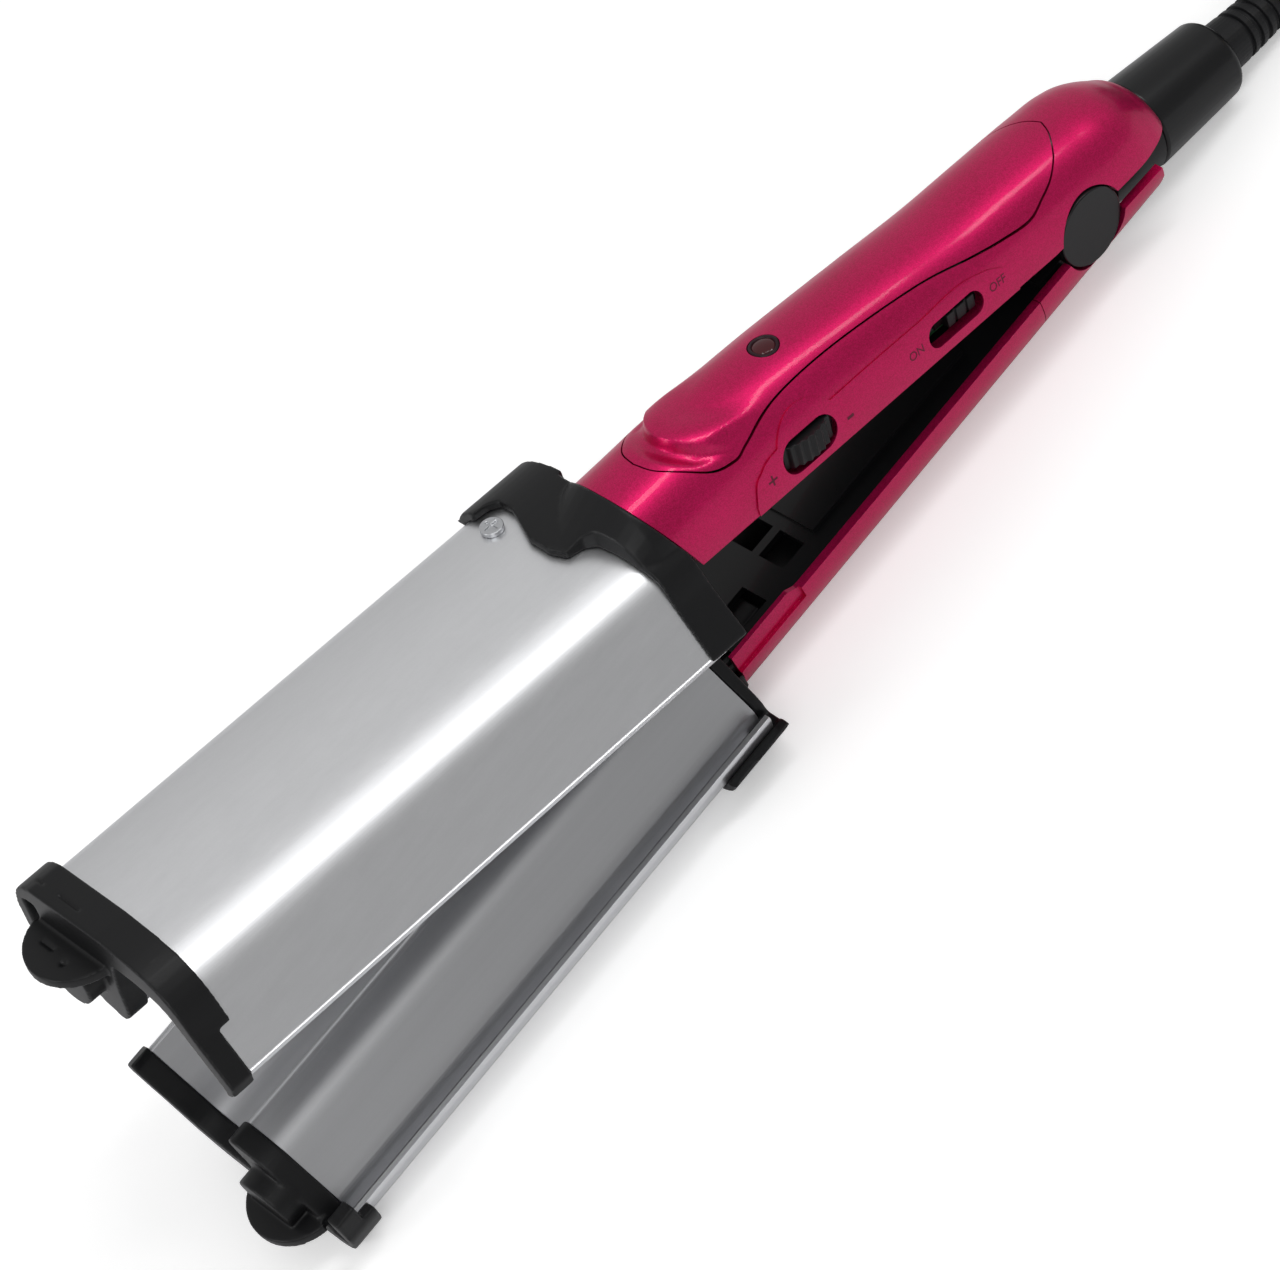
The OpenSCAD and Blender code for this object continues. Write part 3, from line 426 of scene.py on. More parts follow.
class Graph:
    """The nodes of a material or of the world."""

    def __init__(self, name: str, world: bool = False) -> None:
        """Starts an empty material, or a world, with its output."""
        self.owner = (bpy.data.worlds if world else bpy.data.materials).new(name)
        self.owner.use_nodes = True
        self.tree = self.owner.node_tree
        self.tree.nodes.clear()
        self.out = self.tree.nodes.new("ShaderNodeOutputWorld" if world else "ShaderNodeOutputMaterial")

    def node(self, kind: str, settings: Optional[dict] = None, inputs: Optional[dict] = None,
             output: object = 0) -> Sock:
        """Adds any node.

        Args:
            kind: the node's type.
            settings: properties, set first; "stops" fills a ramp with position and colour pairs.
            inputs: socket names or numbers to values or Sock links.
            output: the output socket to return.
        Returns:
            The output as a Sock.
        """
        n = self.tree.nodes.new(kind)
        for key, value in (settings or {}).items():
            if key == "stops":
                ramp = n.color_ramp
                while len(ramp.elements) < len(value):
                    ramp.elements.new(0.5)
                for e, (place, colour) in zip(ramp.elements, value):
                    e.position, e.color = place, (*colour, 1.0)
            else:
                setattr(n, key, value)
        for key, value in (inputs or {}).items():
            if isinstance(value, Sock):
                self.tree.links.new(value.link, n.inputs[key])
            else:
                n.inputs[key].default_value = value
        return Sock(self, n.outputs[output])

    def coords(self, scale: Sequence[float] = (1, 1, 1), turn: Sequence[float] = (0, 0, 0)) -> Sock:
        """Object coordinates through a Mapping node."""
        place = self.node("ShaderNodeTexCoord", output="Object")
        return self.node("ShaderNodeMapping", inputs={"Vector": place, "Scale": scale, "Rotation": turn})

    def noise(self, vector: Sock, scale: float, detail: float = 2.0, rough: float = 0.5) -> Sock:
        """Fractal noise between 0 and 1."""
        return self.node("ShaderNodeTexNoise", inputs={"Vector": vector, "Scale": scale, "Detail": detail,
                                                       "Roughness": rough})

    def mix(self, factor: object, low: object, high: object) -> Sock:
        """Blends two colours."""
        return self.node("ShaderNodeMix", {"data_type": "RGBA"}, {0: factor, 6: low, 7: high}, output=2)

    def bump(self, height: Sock, strength: float, distance: float) -> Sock:
        """A surface normal from a height."""
        inputs = {"Height": height, "Strength": strength, "Distance": distance}
        return self.node("ShaderNodeBump", inputs=inputs)

    def close(self, shader: Sock) -> bpy.types.ID:
        """Links a shader to the output and returns the material or world."""
        self.tree.links.new(shader.link, self.out.inputs["Surface"])
        return self.owner

    def surface(self, **inputs: object) -> bpy.types.Material:
        """Closes the graph with the surface shader; underscores in names stand for spaces."""
        named = {key.replace("_", " "): value for key, value in inputs.items()}
        return self.close(self.node("ShaderNodeBsdfPrincipled", inputs=named))


Colour = tuple[float, float, float]


def rgba(colour: Colour) -> tuple[float, float, float, float]:
    """A colour with full alpha."""
    return (*colour, 1.0)


@dataclass(frozen=True)
class Lacquer:
    """Metallic lacquer: a deep colour with fine flakes under a clear coat."""

    name: str
    deep: Colour
    bright: Colour

    def make(self) -> bpy.types.Material:
        """Flakes are cells whose random tone moves the colour; slow noise moves the roughness."""
        g = Graph(self.name)
        place = g.coords()
        flake = g.node("ShaderNodeTexVoronoi", inputs={"Vector": place, "Scale": 5200.0}, output="Color")
        tone = g.node("ShaderNodeSeparateColor", inputs={0: flake}, output=0)
        cloud = g.noise(place, 60.0, 2.0)
        colour = g.mix(tone * 0.34 + cloud * 0.22, rgba(self.deep), rgba(self.bright))
        peel = g.noise(place, 900.0, 1.0)
        return g.surface(Base_Color=colour, Metallic=0.85, Roughness=tone * 0.08 + 0.36, Coat_Weight=0.30,
                         Coat_Roughness=0.10, Normal=g.bump(tone * 0.7 + peel * 0.3, 0.10, 0.00006))


@dataclass(frozen=True)
class Silver:
    """Satin aluminium with fine lines along the jaw."""

    name: str
    tone: Colour
    rough: float
    tilt: float

    def make(self) -> bpy.types.Material:
        """Noise stretched along x draws the lines; they move colour, roughness and height."""
        g = Graph(self.name)
        lines = g.noise(g.coords((6, 900, 900), (0, math.radians(-self.tilt), 0)), 1.0, 3.0, 0.6)
        grain = g.noise(g.coords(), 2600.0, 2.0, 0.7)
        cloud = g.noise(g.coords(), 22.0, 2.0)
        dark = tuple(0.86 * c for c in self.tone)
        colour = g.mix(lines * 0.45 + grain * 0.35 + cloud * 0.2, rgba(dark), rgba(self.tone))
        return g.surface(Base_Color=colour, Metallic=1.0,
                         Roughness=lines * 0.06 + grain * 0.06 + (self.rough - 0.06),
                         Normal=g.bump(lines * 0.5 + grain * 0.5, 0.10, 0.00008))


@dataclass(frozen=True)
class Moulding:
    """Moulded plastic or rubber with a spark-eroded grain."""

    name: str
    tone: Colour
    rough: float
    grain: float = 0.3
    coat: float = 0.0

    def make(self) -> bpy.types.Material:
        """Cells and noise make the grain, which lifts the colour a little on its peaks."""
        g = Graph(self.name)
        place = g.coords()
        fine = g.noise(place, 2400.0, 2.0, 0.6)
        cloud = g.noise(place, 45.0, 3.0)
        light = tuple(min(1.0, 1.5 * c + 0.003) for c in self.tone)
        colour = g.mix(fine * 0.5 + cloud * 0.3, rgba(self.tone), rgba(light))
        return g.surface(Base_Color=colour, Roughness=fine * 0.08 + cloud * 0.07 + (self.rough - 0.07),
                         Coat_Weight=self.coat, Specular_IOR_Level=0.26,
                         Normal=g.bump(fine, self.grain, 0.00005))


@dataclass(frozen=True)
class Metal:
    """Plain machined metal."""

    name: str
    tone: Colour
    rough: float

    def make(self) -> bpy.types.Material:
        """Fine noise moves the roughness and the height."""
        g = Graph(self.name)
        fine = g.noise(g.coords(), 1800.0, 3.0, 0.6)
        dark = tuple(0.8 * c for c in self.tone)
        return g.surface(Base_Color=g.mix(fine, rgba(dark), rgba(self.tone)), Metallic=1.0,
                         Roughness=fine * 0.14 + (self.rough - 0.07), Normal=g.bump(fine, 0.12, 0.00004))


class Finishes:
    """Every finish of the tool, made once."""

    def __init__(self) -> None:
        """Makes the materials."""
        self.pink = Lacquer("Pink lacquer", (0.40, 0.0, 0.055), (0.92, 0.008, 0.18)).make()
        self.cover = Silver("Satin cover", (0.80, 0.805, 0.82), 0.36, Arm.UPPER.value).make()
        self.plate = Silver("Coated plate", (0.60, 0.605, 0.62), 0.36, Arm.LOWER.value).make()
        self.black = Moulding("Black moulding", (0.0035, 0.0036, 0.0041), 0.40, 0.25).make()
        self.gloss = Moulding("Satin black", (0.003, 0.0031, 0.0036), 0.30, 0.10, 0.1).make()
        self.grey = Moulding("Grey moulding", (0.10, 0.105, 0.115), 0.5).make()
        self.lens = Moulding("Lamp lens", (0.045, 0.001, 0.004), 0.14, 0.0, 0.25).make()
        self.ring = Moulding("Lamp ring", (0.012, 0.0, 0.003), 0.35, 0.05).make()
        self.board = Moulding("Circuit board", (0.02, 0.09, 0.035), 0.4).make()
        self.sleeve = Moulding("Lead sleeve", (0.012, 0.012, 0.012), 0.55).make()
        self.ceramic = Moulding("Ceramic carrier", (0.50, 0.50, 0.49), 0.6).make()
        self.rubber = Moulding("Cord jacket", (0.005, 0.0052, 0.006), 0.42, 0.35).make()
        self.print = Moulding("Dark print", (0.09, 0.002, 0.018), 0.45, 0.05).make()
        self.steel = Metal("Steel", (0.60, 0.61, 0.63), 0.30).make()
        self.brass = Metal("Brass blades", (0.80, 0.62, 0.33), 0.28).make()


# ---------------------------------------------------------------- handle


@dataclass
class UpperHandle:
    """The upper shell with its top cover, control strip and lettering."""

    finishes: Finishes
    stations: list = field(default_factory=lambda: [
        [-28.5, 11.4, 10.7, 2.0], [-27.5, 12.3, 11.9, 2.0], [-25.1, 13.5, 13.4, 2.05], [-22, 14.3, 15.3, 2.1],
        [-18.5, 14.95, 16.8, 2.2], [-13.5, 15.3, 17.8, 2.3], [-6, 15.4, 18.2, 2.3], [12, 15.4, 18.4, 2.3],
        [27, 15.4, 18.4, 2.3], [46, 15.4, 19.7, 2.3], [60, 15.4, 20.6, 2.3], [77, 15.4, 21.5, 2.3],
        [90, 15.4, 21.6, 2.3], [101, 15.4, 21.1, 2.3], [112, 15.4, 20.1, 2.3], [129, 15.4, 18.8, 2.3]])
    edge: list = field(default_factory=lambda: [
        [-29.5, 5.2], [-23.5, 4.6], [-8, 3.6], [4, 2.2], [10, 1.5], [20, 1.4], [130, 1.4]])
    plan: list = field(default_factory=lambda: [
        [-5, 0], [-3.6, 3.2], [-1.1, 6.4], [1.2, 8.5], [4.8, 10.5], [9, 11.7], [14.2, 12.7], [22, 12.3],
        [30, 11.5], [44, 9.9], [66, 9.0], [84, 9.5], [95.4, 11.5], [100, 12.1], [106.3, 10.7], [113.2, 5.1],
        [114.8, 0]])
    strip_top: list = field(default_factory=lambda: [
        [23, 5], [24.5, 7.6], [27, 9.4], [32, 11.0], [50, 11.6], [74, 11.8], [90, 11.4], [96, 9.6], [99, 6.6],
        [100, 3.4]])
    groove: float = 0.32
    front: float = 116.7
    lean: float = 0.44
    wall: float = 2.0
    ridge: float = 1.7
    ridge_place: tuple[float, float, float] = (88.0, 27.0, 17.0)  # centre, reach forwards, reach sideways
    ridge_drop: tuple[float, float] = (0.735, 0.78)
    hollow: float = 0.95
    strip_edge: float = 1.4
    strip_out: float = 0.35
    strip_up: float = 0.3
    dial_x: float = 82.8
    dial_z: float = 6.75
    dial_ring: float = 9.1
    switch_x: float = 40.5
    lens_x: float = 77.4
    lens_r: float = 2.45
    rim_r: float = 2.85
    rim_half: float = 0.45
    crown_r: float = 17.0

    def form(self, x: Array) -> Array:
        """Half width, height and roundness of the section at x."""
        return np.moveaxis(through(x, self.stations), -1, 0)

    def section(self, x: Array, theta: Array, lift: Optional[Array] = None) -> Array:
        """Superellipse: y = w cos^(2/n), z = h sin^(2/n), with the signs of cosine and sine.

        Args:
            x: place along the arm.
            theta: angle from the switch side over the crown.
            lift: extra height at each point.
        Returns:
            Points of the surface.
        """
        w, h, n = self.form(x)
        c, s = np.cos(theta), np.clip(np.sin(theta), 0, None)
        y = w * signed_power(c, 2 / n)
        z = h * s ** (2 / n) + (0 if lift is None else lift)
        return np.stack([x + 0 * y, y, z], -1)

    def edge_angle(self, x: Array, z: Array) -> Array:
        """The angle at which the surface has height z: arcsine of (z / h)^(n / 2)."""
        _, h, n = self.form(x)
        return np.arcsin(np.clip(z / h, 0, 1) ** (n / 2))

    def plan_angle(self, x: Array, grow: float) -> Array:
        """The angle of the groove beside the top cover, or the crown past its ends."""
        outline = offset(catmull(self.plan, 12), grow)
        outline[:, 1] = np.clip(outline[:, 1], 0, None)
        order = np.argsort(outline[:, 0])
        y = np.interp(x, outline[order, 0], outline[order, 1], left=0, right=0)
        w, _, n = self.form(x)
        return np.arccos(np.clip(y / w, 0, 1) ** (n / 2))

    def strip_face(self, x: Array, z: Array) -> Array:
        """The control strip's distance from the mid plane: w (1 - (z / h)^n)^(1/n), with w and h grown."""
        w, h, n = self.form(x)
        share = np.clip(z / (h + self.strip_up), 0, 1)
        return (w + self.strip_out) * (1 - share ** n) ** (1 / n)

    def columns(self, low: float, high: float, count: int) -> Array:
        """Places that crowd towards both ends: a cosine share of the way."""
        return low + (high - low) * (1 - np.cos(np.linspace(0, math.pi, count))) / 2

    def shell(self) -> None:
        """The shell's two halves, each from its lower edge to the groove, and over the crown past its ends."""
        count, half_groove = 46, self.groove / 2
        lo, hi = self.plan[0][0] - half_groove, self.plan[-1][0] + half_groove
        x = np.concatenate([np.linspace(self.stations[0][0], lo, 50)[:-1], self.columns(lo, hi, 200),
                            np.linspace(hi, self.front, 12)[1:]])
        start = self.edge_angle(x, through(x, self.edge)[:, 0])[:, None]
        end = self.plan_angle(x, half_groove)[:, None]
        theta = start + (end - start) * np.linspace(0, 1, count)[None, :]
        xx = across(x, count)
        z = self.section(xx, theta)[..., 2]
        xx = xx + smooth(xx, hi, self.front) * self.lean * np.clip(z - 3, -1.6, None)
        near = self.section(xx, theta)
        far = near * [1, -1, 1]
        piece = Piece.grid("UpperShell", Arm.UPPER.place(np.concatenate([near, far[:, ::-1]], axis=1)))
        column = np.tile(np.arange(2 * count - 1), len(x) - 1)
        piece.faces = piece.faces[column != count - 1]  # the halves stay apart along the groove
        piece.build(2e-6).outwards(Arm.UPPER, 50, 0, 0).thicken(self.wall, self.finishes.black)
        piece.cut(self.dial_cut(), self.switch_cut(), *hinge_cutters("Hinge", Arm.UPPER))
        piece.finish("handle", self.finishes.pink, "pink_lacquer", "upper_shell", round_mm=0.25)

    def dial_cut(self) -> Piece:
        """The slot that the thumb wheel stands out of."""
        outline = stadium(self.dial_x + 0.7, self.dial_z + 0.35, 15, 7.8)
        return cutter_y("DialCut", outline, 3, 25, Arm.UPPER)

    def switch_cut(self) -> Piece:
        """The slot of the power button."""
        return cutter_y("SwitchCut", stadium(self.switch_x, 6.5, 16, 5.4), 3, 25, Arm.UPPER)

    def crown(self, x: Array, y: Array) -> Array:
        """Height of the thumb ridge over the shell.

        With r the share of the way from the ridge's centre to the front outline, it rises to r = 0.72, drops
        by a steep smooth step, leaves a hollow and meets the shell again at r = 0.93. It fades towards the
        grooves.

        Args:
            x: place along the arm.
            y: distance from the mid plane.
        Returns:
            The extra height.
        """
        middle, forwards, sideways = self.ridge_place
        r = np.sqrt((np.clip(x - middle, 0, None) / forwards) ** 2 + (y / sideways) ** 2)
        drop = smooth(r, *self.ridge_drop)
        rise = smooth(r, 0.32, 0.72) * (1 - drop) * self.ridge
        hollow = -self.hollow * drop * (1 - smooth(r, 0.80, 0.93))
        return (rise + hollow) * smooth(x, 84, 98) * (1 - smooth(np.abs(y), 8.0, 11.6))

    def top_cover(self) -> None:
        """The long insert between the grooves, with the thumb ridge near its front end."""
        count = 70
        x = np.unique(np.concatenate([self.columns(-4.85, 114.65, 170), np.linspace(92, 114, 120)]))
        side = self.plan_angle(x, -self.groove / 2)[:, None]
        theta = side + (math.pi - 2 * side) * np.linspace(0, 1, count)[None, :]
        xx = across(x, count)
        plain = self.section(xx, theta)
        surface = self.section(xx, theta, self.crown(xx, plain[..., 1]))
        piece = Piece.grid("TopCover", Arm.UPPER.place(surface)).build(3e-6)
        piece.outwards(Arm.UPPER, 50, 0, 0).thicken(1.6)
        piece.cut(cutter_z("LensHole", disc(self.lens_x, 0, 3.4, 48), 12, 30, Arm.UPPER))
        piece.finish("handle", self.finishes.pink, "pink_lacquer", "top_cover", round_mm=0.22)

    def strip(self) -> None:
        """The control strip: the shell's surface moved out, up to its own upper line and the dial's ring."""
        count, low, reach = 40, self.strip_edge, self.dial_ring
        x = np.unique(np.concatenate([np.linspace(23, 100, 150), self.columns(73.8, 91.8, 90)]))
        top = through(x, self.strip_top)[:, 0]
        ring = self.dial_z + np.sqrt(np.clip(reach ** 2 - (x - self.dial_x) ** 2, 0, None))
        top = np.where(np.abs(x - self.dial_x) < reach, np.maximum(top, ring), top)
        z = low + (top[:, None] - low) * np.linspace(0, 1, count)[None, :]
        xx = across(x, count)
        surface = np.stack([xx, self.strip_face(xx, z), z], -1)
        piece = Piece.grid("ControlStrip", Arm.UPPER.place(surface)).build()
        piece.outwards(Arm.UPPER, 60, 0, 5).thicken(1.8)
        piece.cut(self.dial_cut(), self.switch_cut())
        piece.finish("handle", self.finishes.pink, "pink_lacquer", "control_strip", round_mm=0.25)

    def lens(self) -> None:
        """The lamp: a domed lens in a raised ring.

        Each height is a half ellipse over the radius. Both bend down sideways with the crown, by y^2 over
        twice the crown's own radius.
        """
        r, foot = np.linspace(0, 3.28, 24), 0.25
        top = float(self.form(np.array([self.lens_x]))[1, 0]) - 0.05
        a = np.linspace(0, 2 * math.pi, 64, endpoint=False)[None, :]
        dome = 0.55 * np.sqrt(np.clip(1 - (r / self.lens_r) ** 2, 0, 1)) - foot
        rim = 0.42 * np.sqrt(np.clip(1 - ((r - self.rim_r) / self.rim_half) ** 2, 0, 1)) - foot
        for name, height, keep, finish in (("LampLens", dome, r < 2.5, self.finishes.lens),
                                           ("LampRing", rim, r > 2.38, self.finishes.ring)):
            rr, zz = r[keep][:, None], height[keep][:, None]
            z = top + zz - (rr * np.sin(a)) ** 2 / (2 * self.crown_r)
            surface = np.stack([self.lens_x + rr * np.cos(a), rr * np.sin(a), z], -1)
            piece = Piece.grid(name, Arm.UPPER.place(surface), close_v=True).build()
            piece.outwards(Arm.UPPER, self.lens_x, 0, 5).thicken(0.6)
            piece.finish("handle", finish, "lamp_red", "indicator_lens", round_mm=0)

    def mark(self, name: str, text: str, x: float, z: float, size: float) -> None:
        """Generic words or signs laid on the strip.

        Args:
            name: the piece's name.
            text: the word or sign.
            x: its middle along the arm.
            z: its middle's height.
            size: the letters' height in millimetres.
        """
        curve = bpy.data.curves.new(name, "FONT")
        curve.body, curve.size, curve.extrude = text, size * 1.35, 0.03
        curve.align_x = curve.align_y = "CENTER"
        holder = linked(name, curve)
        bpy.context.view_layer.update()
        mesh = bpy.data.meshes.new_from_object(holder.evaluated_get(bpy.context.evaluated_depsgraph_get()))
        bpy.data.objects.remove(holder, do_unlink=True)
        p = triples(mesh.vertices, "co")
        xx, zz = x - p[:, 0], z + p[:, 1]
        y = self.strip_face(xx, zz) + 0.01 + p[:, 2]
        mesh.vertices.foreach_set("co", Arm.UPPER.place(np.stack([xx, y, zz], 1)).reshape(-1))
        piece = Piece(name, p, np.zeros((0, 4)), linked(name, mesh))
        piece.finish("handle", self.finishes.print, "black_plastic", round_mm=0)

    def build(self) -> None:
        """Makes every piece of the upper handle."""
        self.shell()
        self.top_cover()
        self.strip()
        self.lens()
        for name, text, x, z, size in (("MarkOn", "ON", 52.3, 6.7, 2.0), ("MarkOff", "OFF", 28.0, 6.5, 2.0),
                                       ("MarkLess", "-", 72.4, 6.4, 5.4), ("MarkMore", "+", 94.6, 6.2, 3.8)):
            self.mark(name, text, x, z, size)


@dataclass
class LowerHandle:
    """The lower shell and its rear part, open at the top."""

    finishes: Finishes
    half: float = 15.8
    wall: float = 2.0
    lip: float = 0.9
    rear_depth: float = 13.4
    front_depth: float = 14.4
    power: float = 3.2
    taper: float = 122.0
    seam: float = 19.5
    front: float = 118.7

    def trough(self, name: str, x0: float, x1: float, edge: Sequence[Sequence[float]]) -> Piece:
        """A trough with a superellipse section between two places, up to its own edge line.

        Args:
            name: the piece's name.
            x0: the rear end.
            x1: the front end.
            edge: the height of the upper edge along x.
        Returns:
            The piece with its wall.
        """
        count = 90
        x = np.linspace(x0, x1, count)
        top = np.interp(x, *np.transpose(np.asarray(edge, float)))
        depth = self.rear_depth + (self.front_depth - self.rear_depth) * np.clip(x / self.taper, 0, 1)
        start = np.arcsin(np.clip(-top / depth, 0, 1) ** (self.power / 2))[:, None]
        theta = start + (math.pi - 2 * start) * np.linspace(0, 1, count)[None, :]
        y = self.half * signed_power(np.cos(theta), 2 / self.power)
        z = -depth[:, None] * np.sin(theta) ** (2 / self.power)
        piece = Piece.grid(name, Arm.LOWER.place(np.stack([across(x, count), y, z], -1))).build(2e-6)
        return piece.outwards(Arm.LOWER, (x0 + x1) / 2, 0, 0).thicken(self.wall, self.finishes.black)

    def build(self) -> None:
        """Makes the front shell with its thin lip, then the rear part with its notch for the tail."""
        front = self.trough("LowerShell", self.seam + 0.1, self.front,
                            [[0, -1.7], [98.4, -1.7], [101, -0.25], [130, -0.25]])
        for side in (1, -1):
            y = sorted([side * (self.half - self.lip), side * (self.half + 5)])
            front.cut(box("LipCut", (98, y[0], -4.8), (125, y[1], 8), Arm.LOWER))
        front.finish("lower_arm", self.finishes.pink, "pink_lacquer", "lower_shell", round_mm=0.3)
        rear = self.trough("LowerRear", -21, self.seam - 0.1,
                           [[-21, -4.2], [-9, -3.4], [10, -1.7], [30, -1.7]])
        slope = np.array([[-24, -4], [-21, -7.2], [-19.4, -9.6], [-15, -20], [-24, -20]])
        rear.cut(box("TailNotch", (-30, -13, -30), (-5, 13, 10), Arm.LOWER),
                 cutter_y("RearSlope", slope, -20, 20, Arm.LOWER), *hinge_cutters("Cap", Arm.LOWER))
        rear.finish("lower_arm", self.finishes.pink, "pink_lacquer", "lower_rear_cover", round_mm=0.3)


# ---------------------------------------------------------------- jaws


@dataclass
class Jaw:
    """One jaw's outer cover and heated plate; the lower jaw is the same, turned half way round."""

    finishes: Finishes
    arm: Arm
    body: str
    half: float = 28.5
    top: float = 13.0
    drop: float = 4.0
    edge_y: float = 26.8
    edge_z: float = 8.8
    sheet: float = 1.2
    gap: float = 0.3
    flank: float = 3.5
    slot: float = 23.1
    rise_front: float = 3.6
    rise_rear: float = 2.0
    rear: float = 124.1
    front: float = 250.9
    roll_r: float = 0.9
    roll_turn: float = 45.0
    rows: int = 24
    screw: tuple[float, float, float] = (139.2, -17.7, 1.35)  # place along and across, and radius of its hole

    def knots(self) -> list[list[float]]:
        """The cover's section from the thick side over the crown to the thin edge."""
        t = self.top
        return [[-self.half, self.drop], [-self.half + 0.1, self.drop + 1.8], [-self.half + 2.2, t - 3],
                [-self.half + 7.5, t - 0.6], [-13, t], [-2, t - 1.1], [8.7, t - 2.9], [15.7, t - 6.3],
                [21, t - 13.4], [self.edge_y, -self.edge_z]]

    def rolled(self, curve: Array) -> Array:
        """Ends the thin edge in a small outward arc, on which its tangent turns by roll_turn degrees."""
        line = curve[curve[:, 1] > -self.edge_z + 0.75]
        step = line[-1] - line[-2]
        start = math.atan2(step[1], step[0])
        turn = start + np.linspace(0, math.radians(self.roll_turn), 8)[1:, None]
        arc = np.hstack([np.sin(turn) - math.sin(start), math.cos(start) - np.cos(turn)])
        return np.vstack([line, line[-1] + self.roll_r * arc])

    def wave(self, rise: float) -> Array:
        """The heated side: the arch turned half way round and raised as a barrel, a flank, and the arch.

        Args:
            rise: how far the barrel stands over the turned arch.
        Returns:
            Points of the section, as y and z.
        """
        cover = catmull(self.knots(), 4)
        arch = offset(cover, -(2 * self.sheet + self.gap))
        arch = arch[arch[:, 0] > 4]
        barrel = -arch[::-1] - [0, rise]
        barrel = barrel[(barrel[:, 0] < -self.flank - 4.4) & (barrel[:, 0] > -self.slot + 0.3)]
        end, f = barrel[-1], self.flank
        turn = catmull([end, [-f - 2.6, end[1] - 0.1], [-f - 0.8, end[1] + 2.2], [-f, end[1] + 8],
                        [-f + 0.4, end[1] + 13.4 - rise / 2], [-f + 2.4, arch[0, 1] - 0.4],
                        arch[0] - [2.2, -0.25]], 4)
        wall = [[-self.slot, self.top - 3.6], [-self.slot, barrel[0, 1] + 2.2]]
        return catmull(np.vstack([wall, barrel[:-1], turn, arch]), 4)

    def band(self, name: str, rear: Array, front: Array, low: float, high: float) -> Piece:
        """A closed sheet between two sections of the same number of points, straight along x.

        Args:
            name: the piece's name.
            rear: the section at the rear.
            front: the section at the front.
            low: offset of the sheet's lower side.
            high: offset of its upper side.
        Returns:
            The closed piece.
        """
        loops = [np.vstack([offset(s, low), offset(s, high)[::-1]]) for s in (rear, front)]
        share = np.linspace(0, 1, self.rows)[:, None, None]
        yz = loops[0][None] * (1 - share) + loops[1][None] * share
        x = np.broadcast_to(self.rear + (self.front - self.rear) * share, yz.shape[:2] + (1,))
        surface = np.concatenate([x, yz], axis=-1)
        if self.arm is Arm.LOWER:
            surface = turned(surface)
        piece = Piece.grid(name, self.arm.place(surface), close_v=True)
        n = len(rear)
        i = np.arange(n - 1)
        first = np.stack([i, i + 1, 2 * n - 2 - i, 2 * n - 1 - i], 1)
        last = first[:, ::-1] + (self.rows - 1) * 2 * n
        piece.faces = np.vstack([piece.faces, first, last])
        return piece.build()

    def build(self) -> None:
        """Makes the cover, with its screw hole, and the plate."""
        cover = self.rolled(catmull(self.knots(), 14))
        side = self.arm.name.title()
        piece = self.band(f"{side}Cover", cover, cover, -self.sheet, 0)
        up = 1 if self.arm is Arm.UPPER else -1
        hole = disc(*self.screw, 32) * [1, up]
        piece.cut(cutter_z("ScrewHole", hole, up * 9, up * 18, self.arm))
        node = self.arm.name.lower()
        piece.finish(self.body, self.finishes.cover, "silver_aluminium", f"{node}_cover_plate", round_mm=0.25)
        plate = self.band(f"{side}Plate", self.wave(self.rise_rear), self.wave(self.rise_front), 0, self.sheet)
        plate.finish(self.body, self.finishes.plate, "plate_coating", f"{node}_heat_plate", round_mm=0.25)


# ---------------------------------------------------------------- cord


